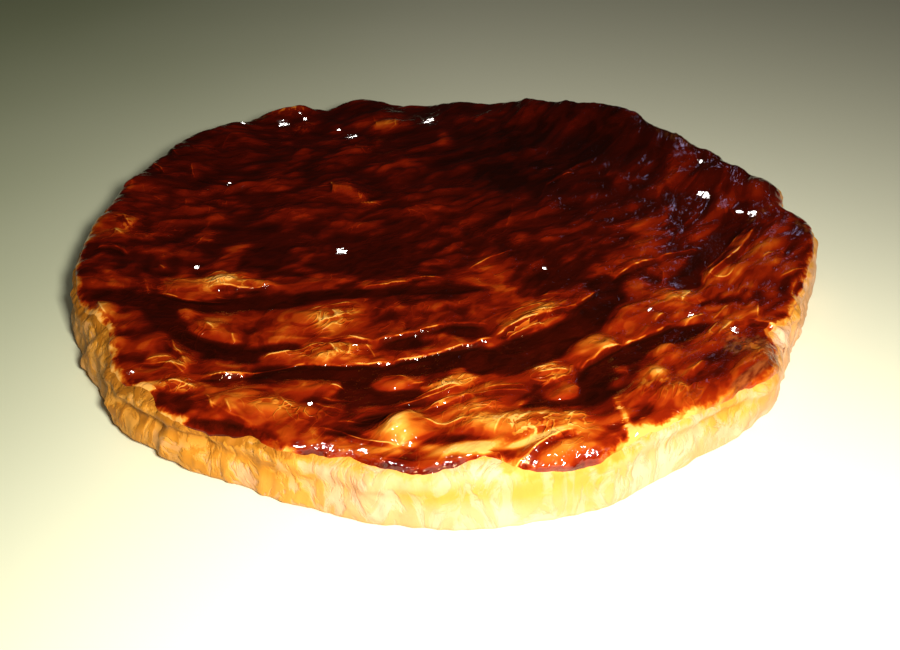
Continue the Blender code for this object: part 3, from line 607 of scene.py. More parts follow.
def noise(x, y, seed):
    """Gradient noise with cells of one unit, from about -0.7 to 0.7."""
    turns = np.random.default_rng(SEED + seed).uniform(0, 2 * np.pi, (NOISE_CELLS, NOISE_CELLS))
    column = np.floor(x).astype(int)
    row = np.floor(y).astype(int)
    total = np.zeros_like(x)
    for right in (0, 1):
        for up in (0, 1):
            turn = turns[(column + right) % NOISE_CELLS, (row + up) % NOISE_CELLS]
            across = x - column - right
            along = y - row - up
            slope = np.cos(turn) * across + np.sin(turn) * along
            total += slope * fade(1 - np.abs(across)) * fade(1 - np.abs(along))
    return total


def round_noise(angle, count, level, seed):
    """Noise that closes on itself round the pie, with about count bumps a turn."""
    reach = count / (2 * np.pi)
    return noise(reach * np.cos(angle) + 20, reach * np.sin(angle) + level + 20, seed)


def rim_bumps(angle, table):
    """The sum of a table's bumps at an angle round the pie."""
    total = np.zeros_like(angle)
    for where, width, size in table:
        turn = (np.degrees(angle) - where + 180) % 360 - 180
        total += size * bell(turn / width)
    return total


def outline(angle):
    """The wall's radius at the lid."""
    scallops = OUTLINE_DEPTH * round_noise(angle, 46, 0, 1)
    nicks = NICK_DEPTH * np.abs(round_noise(angle, 120, 3, 8))
    return RADIUS + rim_bumps(angle, OUTLINE_BUMPS) + scallops - nicks


def rim_height(angle):
    """The height of the rim's crest."""
    return RIM_HEIGHT + rim_bumps(angle, RIM_BUMPS) + RIM_DEPTH * round_noise(angle, 66, 5, 9)


def flare(angle):
    """How far the foot stands out past the wall's top."""
    return FOOT_FLARE + rim_bumps(angle, FLARE_BUMPS)


def fold(x, y, start, end, bow):
    """How far a point lies beyond a bowed crest line, and how strong the fold is there."""
    run = np.subtract(end, start)
    length = np.hypot(*run)
    along = ((x - start[0]) * run[0] + (y - start[1]) * run[1]) / length**2
    across = ((y - start[1]) * run[0] - (x - start[0]) * run[1]) / length
    across = across - 4 * bow * along * (1 - along)
    across = across + CREST_SWAY * noise(along * length / CREST_LENGTH, along * 0 + start[0] * 999, 11)
    return across, fade(along * 5) * fade((1 - along) * 5)


def oval(x, y, centre, length, width, turn):
    """1 in the middle of an oval, easing to 0 at its edge."""
    cosine = np.cos(np.radians(turn))
    sine = np.sin(np.radians(turn))
    along = ((x - centre[0]) * cosine + (y - centre[1]) * sine) / length
    across = ((y - centre[1]) * cosine - (x - centre[0]) * sine) / width
    return np.exp(-((along**2 + across**2) ** 1.4))


def ovals(x, y, table):
    """The sum of a table's ovals, each times its amount."""
    total = np.zeros_like(x)
    for *shape, amount in table:
        total += amount * oval(x, y, *shape)
    return total


def random_relief(x, y, rise):
    """The lid's seeded lumps, dimples and bumps, drawn out along its swirl, and that swirl's lines."""
    along = x + WARP * noise(x / WARP_LENGTH, y / WARP_LENGTH, 2)
    across = y - (LEAN + TWIST * np.maximum(y, 0)) * x - BEND * x * x
    across = across + WARP * noise(x / WARP_LENGTH + 9, y / WARP_LENGTH, 2)
    lumps = np.abs(noise(along / LUMP_LENGTH, across / LUMP_WIDTH, 4)) - MEAN_FOLD
    dimples = np.abs(noise(along / DIMPLE_LENGTH, across / DIMPLE_WIDTH, 5)) - MEAN_FOLD
    dimples = dimples * (1 + noise(x / 0.045, y / 0.045 + 5, 12))
    back = fade((y + 0.045) / 0.07)
    dents = np.abs(noise(along / DENT_LENGTH, across / DENT_WIDTH + 3, 16)) - MEAN_FOLD
    dimples = dimples * (1 - BACK_CALM * back) + DENT_HEIGHT / DIMPLE_HEIGHT * dents * back
    bumps = noise(along / BUMP_LENGTH, across / BUMP_WIDTH, 13)
    front = fade(-y / 0.06)
    calm = 1 - FRONT_CALM * front - RIM_CALM * rise * (1 - front)
    return calm * (LUMP_HEIGHT * lumps + DIMPLE_HEIGHT * dimples) + BUMP_HEIGHT * bumps, along, across


def add_folds(x, y, depth, fields):
    """Adds the lid's folds, and how near and how strong the nearest one is."""
    nearest = np.full_like(x, 0.004)
    folded = np.zeros_like(x)
    for start, end, bow, height, reach in FOLDS:
        beyond, strength = fold(x, y, start, end, bow)
        slope = np.exp(-np.maximum(beyond, 0) / reach) * bell(np.minimum(beyond, 0) / FOLD_DROP)
        trough = bell((beyond + TROUGH_AT) / TROUGH_WIDTH)
        depth += height * strength * (slope - TROUGH_DEPTH * trough)
        closer = (np.abs(beyond) < np.abs(nearest)) & (strength > 0.01)
        nearest = np.where(closer, beyond, nearest)
        near = strength * min(height / FULL_FOLD, 1) * fade(1.6 - np.abs(beyond) / FOLD_BAND)
        folded = np.where(closer, near, folded)
    fields["beyond"] = MM * nearest
    fields["folded"] = folded


def add_wrinkles(x, y, depth, fields):
    """Adds the thin wrinkles, and how near and how strong the nearest one is."""
    nearest = np.full_like(x, 0.003)
    lined = np.zeros_like(x)
    for start, end, bow, amount in WRINKLES:
        beyond, strength = fold(x, y, start, end, bow)
        ridge = bell(beyond / 0.0008) - 0.5 * bell((beyond + 0.0015) / 0.0008)
        depth += WRINKLE_HEIGHT * amount * strength * ridge
        # The crest is painted lighter, as thin glaze with a painted highlight folded in, and the foot below
        # it darker.
        glow = bell((beyond - 0.0007) / 0.0012) - 0.7 * bell((beyond + 0.0018) / 0.0010)
        fields["extra"] -= WRINKLE_GLOW * amount * strength * glow
        closer = (np.abs(beyond) < np.abs(nearest)) & (strength > 0.01)
        nearest = np.where(closer, beyond, nearest)
        near = amount * strength * fade(1.8 - np.abs(beyond) / 0.0009)
        lined = np.where(closer, near, lined)
    fields["line"] = MM * nearest
    fields["lined"] = lined


def lid_fields(x, y):
    """The top's height over a point of the plan, and the fields that its finish follows."""
    angle = np.arctan2(y, x)
    inset = outline(angle) - np.hypot(x, y)
    floor = RIM_HEIGHT - FLOOR_DROP
    rise = fade(1 - (inset - SHOULDER_WIDTH) / RIM_WIDTH)
    base = floor + (rim_height(angle) - floor) * rise
    base = base + SWELL_DEPTH * noise(x / SWELL_LENGTH, y / SWELL_LENGTH + 7, 3)
    depth, along, across = random_relief(x, y, rise)
    fields = {"along": along, "across": across}
    fields["wrinkled"] = 0.6 * fade(0.3 + 1.6 * noise(x / 0.022, y / 0.022, 15))
    # The back is painted darker, as painted shade.
    fields["extra"] = BACK_PAINTED_SHADE * fade((y + 0.06) / 0.11) + ovals(x, y, SPOTS)
    fields["scorch"] = ovals(x, y, SCORCHES)
    fields["flecked"] = ovals(x, y, FLECKS)
    for *shape, height, wrinkles, thinner in BULGES:
        part = oval(x, y, *shape)
        depth += height * part
        fields["wrinkled"] += wrinkles * part
        fields["extra"] -= BULGE_GLAZE * thinner * part
    depth -= ovals(x, y, POOLS)
    add_folds(x, y, depth, fields)
    crease = np.abs(noise(along / CREASE_LENGTH, across / CREASE_WIDTH, 14))
    depth += fields["wrinkled"] * CREASE_DEPTH * (0.25 - crease)
    add_wrinkles(x, y, depth, fields)
    depth += GLAZE_DEPTH
    fields["depth"] = MM * depth
    filled = np.logaddexp(0, depth / GLAZE_ROUNDING) * GLAZE_ROUNDING
    return base - GLAZE_DEPTH + filled, fields


def edge_drop(angle):
    """How far the glaze runs from the rim's crest before it ends."""
    sway = EDGE_SWAY * round_noise(angle, 42, 2, 18)
    rag = EDGE_RAG * (round_noise(angle, 160, 2, 19) + 0.3 * round_noise(angle, 480, 2, 20))
    return np.maximum(EDGE_DROP + rim_bumps(angle, EDGE_BUMPS) + sway + rag, -0.004)


def wall_relief(angle, level):
    """Leaf-like pleats, crags and the seam between two sheets, which fade out at the lid and foot."""
    pleats = np.abs(round_noise(angle, PLEATS, 0.4 * level, 6)) - 0.22
    crags = round_noise(angle, CRAGS, 1.2 * level, 7)
    relief = PLEAT_DEPTH * pleats + CRAG_DEPTH * crags
    for where, width, lean, height in LEAVES:
        turn = (np.degrees(angle) - where - lean * level + 180) % 360 - 180
        relief += height * np.where(turn > 0, np.exp(-turn / width), bell(turn / LEAF_STEP))
    seam = SEAM_LEVEL + SEAM_SWAY * round_noise(angle, 14, 0, 10)
    groove = bell((level - seam) / SEAM_WIDTH) * fade(0.35 + 1.6 * round_noise(angle, 16, 4, 24))
    relief -= SEAM_DEPTH * groove
    return relief * fade(level * 5) * fade((1 - level) * 3.5)


def meridian(run):
    """The blank's radius, level and outward slope at a distance from its rim's crest."""
    turn = np.clip(run / SHOULDER_RUN, 0, 1) * np.pi / 2
    fall = np.clip(run - SHOULDER_RUN, 0, WALL_RUN)
    tuck = np.clip((run - SHOULDER_RUN - WALL_RUN) / FOOT_RUN, 0, 1) * np.pi / 2
    radius = RADIUS - SHOULDER_WIDTH * (1 - np.sin(turn)) - FOOT_WIDTH * (1 - np.cos(tuck))
    radius = radius + np.minimum(run, 0)
    height = RIM_HEIGHT - SHOULDER_DEPTH * (1 - np.cos(turn)) - fall - FOOT_DEPTH * np.sin(tuck)
    return radius, height / RIM_HEIGHT, turn + tuck


def place(blank_radius, angle, level, turn, lift):
    """Moves a point of the blank out to the pie's surface, and lifts it off by a distance."""
    edge = fade((blank_radius / RADIUS - 0.94) / 0.04)
    radius = blank_radius / RADIUS * (outline(angle) + flare(angle) * (1 - level))
    radius = radius + edge * wall_relief(angle, level) + lift * np.sin(turn)
    x = radius * np.cos(angle)
    y = radius * np.sin(angle)
    height, fields = lid_fields(x, y)
    return x, y, level * height + lift * np.cos(turn), fields


def ring_down(shape, count, whole):
    """Extrudes the open edge down in count rings, each 1 / whole lower, and closes the last one."""
    for index in range(count):
        edges = [edge for edge in shape.edges if edge.is_boundary]
        grown = bmesh.ops.extrude_edge_only(shape, edges=edges)["geom"]
        for vertex in (item for item in grown if isinstance(item, bmesh.types.BMVert)):
            direction = vertex.co.xy.normalized()
            vertex.co = (direction.x, direction.y, -(index + 1) / whole)
    edges = [edge for edge in shape.edges if edge.is_boundary]
    bmesh.ops.contextual_create(shape, geom=edges)


def mesh_from(shape, name):
    """A mesh of a closed shape, with its faces looking outwards."""
    bmesh.ops.recalc_face_normals(shape, faces=shape.faces)
    mesh = bpy.data.meshes.new(name)
    shape.to_mesh(mesh)
    shape.free()
    return mesh


def blank_points(mesh):
    """For every point of a blank its angle and reach, and how far down the side it is, from 0 at the top."""
    points = np.empty(len(mesh.vertices) * 3, np.float32)
    mesh.vertices.foreach_get("co", points)
    x, y, z = points.reshape(-1, 3).T.astype(float)
    return np.arctan2(y, x), np.hypot(x, y), -z


def tuck_in(x, y, z, hidden, level):
    """Draws a piece's hidden closing ring inwards and down to a level inside the pie."""
    scale = np.where(hidden, 0.94, 1)
    return np.stack([x * scale, y * scale, np.where(hidden, level * RIM_HEIGHT, z)], 1)


def shaped(mesh, points, fields):
    """Moves a mesh's points to their places and stores the fields that its finish follows."""
    mesh.vertices.foreach_set("co", points.ravel())
    for name, values in fields.items():
        attribute = mesh.attributes.new(name, "FLOAT", "POINT")
        attribute.data.foreach_set("value", values.astype(np.float32))
    mesh.update()
    return mesh


def bead_fields(points):
    """For every point the nearest bead's height, and its place across and up that bead's bright side."""
    closest = np.full(len(points), np.inf)
    fields = {name: np.zeros(len(points)) for name in ("bead_side", "bead_rise", "bead_height")}
    for centre, radius in BEADS:
        offset = points[:, :2] - centre
        distance = np.hypot(*offset.T)
        near = (distance < 1.3 * radius + 0.0005) & (points[:, 2] > 0.4 * RIM_HEIGHT)
        plane = np.column_stack([offset[near], np.ones(near.sum())])
        fit = np.linalg.lstsq(plane, points[near, 2], rcond=None)[0]
        normal = Vector((-fit[0], -fit[1], 1)).normalized()
        middle = Vector((*centre, fit[2]))
        facing = (Vector(EYE) - middle).normalized() + (Vector(FLASH) - middle).normalized()
        facing.normalize()
        slope = normal - facing / facing.dot(normal)
        along = slope.normalized()
        closer = distance / radius < closest
        closest = np.where(closer, distance / radius, closest)
        values = {"bead_side": (points - middle) @ normal.cross(along) / radius}
        values["bead_rise"] = (points - middle) @ along / radius
        values["bead_height"] = MM * radius * slope.length * (distance < BEAD_REACH * radius)
        for name, value in values.items():
            fields[name] = np.where(closer, value, fields[name])
    return fields


def lid_mesh():
    """The glazed lid: an even disc of cells, its edge rolled over the shoulder."""
    shape = bmesh.new()
    bmesh.ops.create_grid(shape, x_segments=LID_CELLS, y_segments=LID_CELLS, size=1)
    for vertex in shape.verts:
        x, y = vertex.co.xy
        reach = max(abs(x), abs(y))
        angle = np.arctan2(y, x)
        if reach > 0:
            side = np.pi / 2 * round(angle / (np.pi / 2))
            angle = side + np.pi / 4 * np.tan(angle - side)
        crowd = CROWDING * (1 - reach**2)
        vertex.co = (reach * np.cos(angle), reach * np.sin(angle) - crowd, 0)
    ring_down(shape, LID_RINGS + 1, LID_RINGS)
    mesh = mesh_from(shape, "lid")
    angle, reach, part = blank_points(mesh)
    end = edge_drop(angle)
    start = np.minimum(0, end - 0.002)
    run = start + part * (end + OVERLAP - start)
    radius, level, turn = meridian(run)
    flat = part == 0
    radius = np.where(flat, reach * radius, radius)
    inside = np.where(flat, 1, end - run)
    lip = np.clip(rim_bumps(angle, LIPS), 0, 1)
    skin = SKIN * (0.35 + 0.65 * lip)
    lift = skin * np.sqrt(np.clip(inside / SKIN_ROLL, 0, 1)) - TUCK * np.clip(-inside, 0, OVERLAP)
    x, y, z, fields = place(radius, angle, level, turn, lift)
    points = tuck_in(x, y, z, part > 1, 0.3)
    fields.update(bead_fields(points))
    fields["inside"] = MM * np.clip(inside, -0.001, 0.01)
    fields["lip"] = lip
    return shaped(mesh, points, fields)


def crust_mesh():
    """The pale crust: wall and underside, with its top hidden under the lid."""
    length = SHOULDER_RUN + WALL_RUN + FOOT_RUN + CRUST_INSET
    steps = int(length / CRUST_STEP)
    shape = bmesh.new()
    bmesh.ops.create_circle(shape, cap_ends=True, segments=CRUST_SIDES, radius=1)
    ring_down(shape, steps, steps)
    mesh = mesh_from(shape, "crust")
    angle, _, part = blank_points(mesh)
    run = part * length - CRUST_INSET
    radius, level, turn = meridian(run)
    inside = edge_drop(angle) - run
    layer = round_noise(angle, 60, 2.5 * level, 21)
    flake = np.abs(round_noise(angle, 190, 3.5 * level, 22))
    relief = (LAYER_DEPTH * layer - FLAKE_DEPTH * flake) * fade(level * 6) * fade((1 - level) * 6)
    relief -= SINK * fade((inside - 0.0015) / 0.004)
    x, y, z, _ = place(radius, angle, level, turn, relief)
    points = tuck_in(x, y, z, part == 0, 0.45)
    # The toast field also carries painted shade: darker in the hollows of the pleats and in the recessed band
    # at the seam, and on the left side, which is toasted and also painted darker for the shade that the light
    # from the right leaves there.
    pleat = np.minimum(wall_relief(angle, level) / PLEAT_DEPTH, 0)
    left = fade(0.5 - 1.4 * np.cos(angle - np.radians(-20)))
    patches = fade(0.5 + 1.3 * round_noise(angle, 34, 1.5 * level, 23))
    recess = bell((level - 0.62) / 0.2)
    toast_and_shade = 0.10 + 0.68 * left + 0.45 * patches * (0.4 + 0.6 * recess) - 0.4 * pleat
    fields = {"toast_and_shade": np.clip(toast_and_shade, 0, 1.5)}
    fields["below"] = -MM * np.clip(inside, -0.02, 0.003)
    fields["streaks"] = np.clip(0.6 + 0.7 * left - 0.3 * rim_bumps(angle, LIPS), 0, 1)
    return shaped(mesh, points, fields)


def crumb_mesh():
    """A few burnt flakes that cling below the glaze's edge."""
    shape = bmesh.new()
    for degrees, radius, height, size, spin in CRUMBS:
        made = bmesh.ops.create_icosphere(shape, subdivisions=3, radius=size)["verts"]
        angle = np.radians(degrees)
        turn = Matrix.Rotation(angle, 3, "Z") @ Matrix.Rotation(np.radians(spin), 3, "X")
        middle = Vector((radius * np.cos(angle), radius * np.sin(angle), height))
        for vertex in made:
            along = vertex.co.y / size
            ragged = 1 + 0.3 * np.sin(9 * along + degrees) * np.sin(7 * vertex.co.z / size)
            vertex.co.x = 0.22 * vertex.co.x * ragged + 0.35 * size * along**2
            vertex.co.z *= 0.55 * ragged
            vertex.co = turn @ vertex.co + middle
    return mesh_from(shape, "crumbs")


class Value:
    """A number, vector or colour in a material: plain arithmetic on a number adds nodes."""

    def __init__(self, nodes, socket):
        self.nodes = nodes
        self.socket = socket

    def __add__(self, other):
        return self.nodes.maths("ADD", self, other)

    def __sub__(self, other):
        return self.nodes.maths("SUBTRACT", self, other)

    def __rsub__(self, other):
        return self.nodes.maths("SUBTRACT", other, self)

    def __mul__(self, other):
        return self.nodes.maths("MULTIPLY", self, other)

    def __abs__(self):
        return self.nodes.maths("ABSOLUTE", self)


class Nodes:
    """A material's node tree, with short calls to add nodes and to set the shader."""

    def __init__(self, name):
        self.material = bpy.data.materials.new(name)
        self.material.use_nodes = True
        self.tree = self.material.node_tree
        self.shader = self.tree.nodes["Principled BSDF"]

    def join(self, value, socket):
        value = value.socket if isinstance(value, Value) else value
        if isinstance(value, bpy.types.NodeSocket):
            self.tree.links.new(value, socket)
        else:
            socket.default_value = value

    def add(self, kind, inputs, output=0, **settings):
        """Adds a node and returns one of its outputs."""
        node = self.tree.nodes.new(kind)
        for key, value in settings.items():
            setattr(node, key, value)
        for key, value in inputs.items():
            self.join(value, node.inputs[key])
        return Value(self, node.outputs[output])

    def shade(self, key, value):
        self.join(value, self.shader.inputs[key])

    def maths(self, operation, first, second=0.0):
        return self.add("ShaderNodeMath", {0: first, 1: second}, operation=operation)

    def where(self):
        return self.add("ShaderNodeTexCoord", {}, "Object")

    def scaled(self, vector, *scale):
        return self.add("ShaderNodeMapping", {"Vector": vector, "Scale": scale})

    def axis(self, vector, name):
        return self.add("ShaderNodeSeparateXYZ", {"Vector": vector}, name)

    def attribute(self, name):
        return self.add("ShaderNodeAttribute", {}, "Fac", attribute_name=name)

    def noise(self, vector, scale, detail=3.0, roughness=0.55, distortion=0.0):
        inputs = {"Vector": vector, "Scale": scale, "Detail": detail, "Roughness": roughness}
        inputs["Distortion"] = distortion
        return self.add("ShaderNodeTexNoise", inputs, "Fac")

    def remap(self, value, start, end, first=0, last=1, kind="LINEAR"):
        inputs = {"Value": value, 1: start, 2: end, 3: first, 4: last}
        return self.add("ShaderNodeMapRange", inputs, clamp=True, interpolation_type=kind)

    def ease(self, value, start, end, first=0, last=1):
        return self.remap(value, start, end, first, last, "SMOOTHSTEP")

    def mix(self, factor, first, second):
        return self.add("ShaderNodeMix", {0: factor, 6: first, 7: second}, 2, data_type="RGBA")

    def ramp(self, value, stops):
        colours = self.add("ShaderNodeValToRGB", {"Fac": value})
        ramp = colours.socket.node.color_ramp
        while len(ramp.elements) < len(stops):
            ramp.elements.new(0.5)
        for element, (position, colour) in zip(ramp.elements, stops):
            element.position = position
            element.color = (*colour, 1)
        return colours

    def bumps(self, *layers):
        """Bumps on top of one another: each one's height, distance and strength."""
        normal = None
        for height, distance, strength in layers:
            inputs = {"Height": height, "Distance": distance, "Strength": strength}
            if normal:
                inputs["Normal"] = normal
            normal = self.add("ShaderNodeBump", inputs)
        return normal


def lid_material():
    """Clear dark glaze over golden pastry: the colour follows how thick the glaze is, with painted shade
    towards the back and painted highlights on the crests folded into that thickness.
    """
    nodes = Nodes("glazed_lid")
    where = nodes.where()
    far = nodes.axis(where, "Y")
    flow = {"X": nodes.attribute("along"), "Y": nodes.attribute("across"), "Z": nodes.axis(where, "Z")}
    flow = nodes.add("ShaderNodeCombineXYZ", flow)
    grain = nodes.scaled(flow, 1, 1.4, 1.2)
    ragged = nodes.noise(flow, 240, 2, 0.5, 0.6) - 0.5
    blotches = nodes.noise(grain, 105, 1, 0.5, 0.7)
    threads = nodes.ease(abs(nodes.noise(flow, 190, 1, 0.5, 0.8) - 0.5), 0.055, 0.008)
    threads = threads * nodes.remap(nodes.attribute("wrinkled"), 0.3, 0.9)

    # Thick in the hollows and thin on the bulges, with blotches, threads and hairs.
    depth = ragged * 0.5 + nodes.attribute("depth")
    pooled = nodes.ease(depth, 0.45, -0.75)
    pattern = pooled * 2.1 + nodes.ease(blotches, 0.54, 0.66, 0, -0.45)
    pattern = pattern + nodes.ease(blotches, 0.47, 0.36, 0, 0.45)
    glaze = nodes.remap(depth, 0, 3, 2.25, 1.45) + pattern * nodes.ease(far, -0.055, 0.02, 1, 0.36)
    # The extra field carries the painted shade towards the back and the wrinkles' painted highlights.
    glaze = glaze + nodes.attribute("extra") - threads * 0.5
    mottle = nodes.noise(grain, 62, 1, 0.4, 0.6)
    mottle = nodes.remap(mottle, 0.35, 0.65, 0.35, -0.15) + nodes.ease(mottle, 0.50, 0.56, 0.25, -0.15)
    glaze = glaze + mottle * nodes.ease(far, -0.05, 0.02)
    hairs = nodes.ease(abs(nodes.noise(where, 85, 1, 0.5, 0.8) - 0.5), 0.011, 0.003)
    hairs = hairs * nodes.ease(nodes.noise(grain, 110, 1), 0.54, 0.62)
    glaze = glaze + (1 - glaze) * (hairs * nodes.ease(glaze, 3.4, 2.4, 0, 0.4))
    glaze = glaze + nodes.remap(nodes.noise(where, 70, 2, 0.5, 0.5), 0.3, 0.7, -0.25, 0.45)

    # Dark on the near side of a fold or wrinkle, and bright on its crest, which is thin glaze with a painted
    # highlight folded in, and on bare flecks.
    folded = nodes.attribute("folded")
    beyond = ragged * 0.7 + nodes.attribute("beyond")
    near_side = nodes.ease(beyond, -0.1, -0.6) * nodes.ease(beyond, -2.4, -1.2) * folded
    broken = nodes.ease(nodes.noise(where, 160, 1), 0.42, 0.55, 0.1, 1)
    crest = nodes.ease(abs(beyond), 0.42, 0.05) * folded * broken
    lined = nodes.attribute("lined")
    line = ragged * 0.4 + nodes.attribute("line")
    broken = nodes.ease(nodes.noise(where, 260, 1), 0.36, 0.52, 0.35, 1)
    bright = nodes.ease(abs(line), 0.45, 0.05) * lined * broken
    shaded = nodes.ease(line, -0.25, -0.55) * nodes.ease(line, -1.5, -0.8) * lined
    flecks = nodes.ease(nodes.noise(flow, 260, 2, 0.55, 0.5), 0.53, 0.60) * nodes.attribute("flecked")
    glaze = glaze + near_side * 1.2 - crest * 1.4 + shaded * 0.4 - bright * 1.15 - flecks * 1.3

    # Thin and streaky at the edge, but thick where it ends in a lip.
    inside = nodes.attribute("inside")
    lip = nodes.attribute("lip")
    streaks = nodes.noise(nodes.scaled(where, 1, 1, 0.4), 330, 3, 0.6, 0.4) - 0.5
    thinned = nodes.ease(streaks * 6 + inside, 3, 0.2) * (1 - lip) * nodes.ease(far, 0.03, 0)
    glaze = glaze - thinned * 1.7
    glaze = glaze + (1.2 - glaze) * (nodes.ease(inside, 6, 3, 0, 0.45) * lip)
    glaze = glaze + nodes.ease(ragged * 1.2 + inside, 1.6, 0.8) * lip * 0.7
    glaze = nodes.maths("MAXIMUM", glaze, 0.38)

    stops = [(thickness / THICKEST, colour) for thickness, colour in GLAZE_COLOURS]
    glazed = nodes.ramp(nodes.remap(glaze, 0, THICKEST), stops)
    scorch = nodes.ease(ragged + nodes.attribute("scorch"), 0.3, 0.8, 0, 0.65) * (1 - flecks * 0.9)
    char = nodes.ramp(nodes.noise(grain, 300, 3, 0.6), CHAR_COLOURS)
    nodes.shade("Base Color", nodes.mix(nodes.maths("MAXIMUM", scorch, 0), glazed, char))
    nodes.shade("Roughness", nodes.remap(glaze, 0.6, 2.8, 0.32, 0.14))
    nodes.shade("IOR", 1.45)
    nodes.shade("Specular Tint", (1.0, 0.62, 0.30, 1))
    nodes.shade("Specular IOR Level", 0.2)
    coat = 0.8 - nodes.ease(inside, 1.5, 0) * (1 - lip) * 0.7 - scorch * 0.7
    nodes.shade("Coat Weight", nodes.maths("MAXIMUM", coat, 0.05))
    nodes.shade("Coat Roughness", 0.10)
    step = nodes.ease(beyond, -0.6, 0.1) * folded
    base = [(blotches, 0.0012, 0.5), (ragged, 0.0008, 0.6), (threads, 0.0003, 0.9), (hairs, 0.0004, 0.4)]
    nodes.shade("Normal", nodes.bumps(*base, (step, 0.0005, 0.5), (bright, 0.0003, 0.6)))

    # The coat ripples, rolls over at the lips and throws the flash back from its beads and specks.
    rise = ragged * 0.08 + nodes.attribute("bead_rise")
    side = ragged * 2 + nodes.attribute("bead_side")
    bead = nodes.ease(abs(side), 1.4, 0.8) * nodes.ease(abs(rise), 1.8, 1)
    facet = (rise - side * side * 0.03 - rise * rise * 0.05) * bead * nodes.attribute("bead_height")
    wavy = ragged * nodes.remap(pooled, 0, 1, 1, 0.15) * nodes.remap(bead, 0, 1, 1, 0.2)
    uneven = nodes.ease(nodes.noise(where, 330, 1), 0.36, 0.60, 0.45, 0.8)
    roll = nodes.ease(inside, 0.2, 1.8) * lip * uneven
    wet = nodes.ease(inside, 2.4, 1.4, 0, 0.3) * lip * nodes.ease(nodes.noise(where, 130, 1), 0.42, 0.50)
    specks = nodes.add("ShaderNodeTexVoronoi", {"Vector": where, "Scale": 560}, "Distance")
    specks = nodes.ease(specks, 0.5, 0) * wet
    ripples = [(wavy, 0.0012, 0.7), (roll, 0.0010, 1), (facet, 0.001, 1), (specks, 0.0014, 1)]
    nodes.shade("Coat Normal", nodes.bumps(*ripples, (step, 0.0004, 0.4)))
    return nodes.material


def crumb_material():
    nodes = Nodes("burnt_crumb")
    mottle = nodes.noise(nodes.where(), 700, 3, 0.6)
    nodes.shade("Base Color", nodes.ramp(mottle, CRUMB_COLOURS))
    nodes.shade("Roughness", 0.6)
    nodes.shade("Normal", nodes.bumps((mottle, 0.0004, 0.6)))
    return nodes.material


def crust_material():
    """Pale puff pastry: cream where raw, golden where toasted, darker in the painted shade of the wall's
    hollows and left side, with thin flaky layers.
    """
    nodes = Nodes("pale_crust")
    where = nodes.where()
    upright = nodes.scaled(where, 1, 1, 0.45)
    flakes = nodes.noise(upright, 95, 4, 0.58, 2.2)
    streaks = nodes.noise(upright, 330, 3, 0.6, 0.4) - 0.5
    crumb = nodes.noise(where, 600, 3, 0.6)
    streaked = nodes.attribute("streaks")
    crisp = streaked * 0.6 + 0.4
    curls = nodes.ease(abs(flakes - 0.47), 0.022, 0.004) * crisp
    # The toast field holds the wall's painted shade as well as its toasting.
    toast_and_shade = nodes.attribute("toast_and_shade") + nodes.ease(flakes, 0.44, 0.56, -0.22, 0.26) * crisp
    toast_and_shade = toast_and_shade + curls * 0.08 + (crumb - 0.5) * 0.12
    below = streaks * 9 + nodes.attribute("below")
    toast_and_shade = toast_and_shade + nodes.ease(below, 4, 0, 0, 0.8) * streaked
    nodes.shade("Base Color", nodes.ramp(nodes.remap(toast_and_shade, 0, 1.3), CRUST_COLOURS))
    nodes.shade("Roughness", nodes.remap(flakes, 0.3, 0.7, 0.75, 0.5))
    nodes.shade("Specular Tint", (1.0, 0.72, 0.30, 1))
    raised = nodes.ease(flakes, 0.44, 0.56) * crisp
    layers = [(raised, 0.0005, 0.7), (curls, 0.0003, 0.4), (streaks, 0.0006, 0.4), (crumb, 0.0002, 0.6)]
    nodes.shade("Normal", nodes.bumps(*layers))
    return nodes.material


def add_piece(mesh, material):
    mesh.materials.append(material)
    mesh.shade_smooth()
    piece = bpy.data.objects.new(mesh.name, mesh)
    bpy.context.scene.collection.objects.link(piece)
    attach(piece, "root")
    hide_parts(NODE)
    return piece


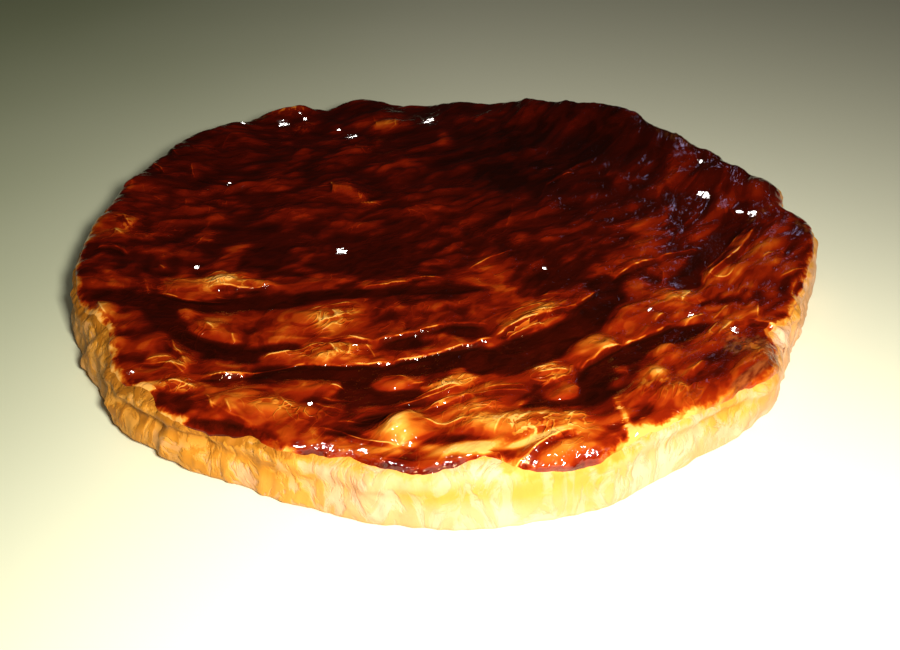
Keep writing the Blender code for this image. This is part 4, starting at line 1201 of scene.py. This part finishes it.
def add_floor():
    bpy.ops.mesh.primitive_plane_add(size=14 * WIDTH, location=(0, 0, FLOOR_Z))
    floor = bpy.context.object
    floor.name = "floor"
    nodes = Nodes("pale_table")
    where = nodes.where()
    # Painted shade: the table is darker towards the left, where the light falls off.
    side = nodes.noise(where, 3, 2, 0.5) * 0.2 + nodes.axis(where, "X")
    nodes.shade("Base Color", nodes.ramp(nodes.ease(side, -0.25, 0.15), TABLE_COLOURS))
    nodes.shade("Roughness", 0.55)
    floor.data.materials.append(nodes.material)


def add_light(name, energy, size, position, target, colour, glossy=True):
    light = bpy.data.lights.new(name, "AREA")
    light.energy = energy
    light.size = size
    light.color = colour
    lamp = bpy.data.objects.new(name, light)
    bpy.context.scene.collection.objects.link(lamp)
    lamp.location = position
    aim = Vector(target) - Vector(position)
    lamp.rotation_euler = aim.to_track_quat("-Z", "Y").to_euler()
    lamp.visible_glossy = glossy
    return light


def add_lights():
    add_light("flash", 2.5, 0.05, FLASH, (0, -0.06, 0.01), (1.0, 0.97, 0.92))
    add_light("softbox", 1.3, 0.9, (0.0, 0.1, 1.1), (0, 0, 0), (1.0, 0.98, 0.94), glossy=False)
    window = add_light("window", 0.00015, 0.07, (0.455, 0.90, 0.48), (0.12, 0.035, 0.02), (0.60, 0.58, 1.0))
    window.spread = np.radians(9)
    world = bpy.data.worlds.new("dim_room")
    world.use_nodes = True
    background = world.node_tree.nodes["Background"]
    background.inputs["Color"].default_value = (0.66, 0.54, 0.42, 1)
    background.inputs["Strength"].default_value = 0.010
    bpy.context.scene.world = world


def add_camera():
    camera = bpy.data.cameras.new("camera")
    camera.lens = LENS
    camera.sensor_width = 36
    camera.clip_start = 0.01
    stand = bpy.data.objects.new("camera", camera)
    bpy.context.scene.collection.objects.link(stand)
    stand.location = EYE
    stand.rotation_euler = (np.radians(TILT), 0, 0)
    bpy.context.scene.camera = stand


add_piece(lid_mesh(), lid_material())
add_piece(crust_mesh(), crust_material())
add_piece(crumb_mesh(), crumb_material())
add_floor()
add_lights()
add_camera()
bpy.context.scene.view_settings.view_transform = "Standard"
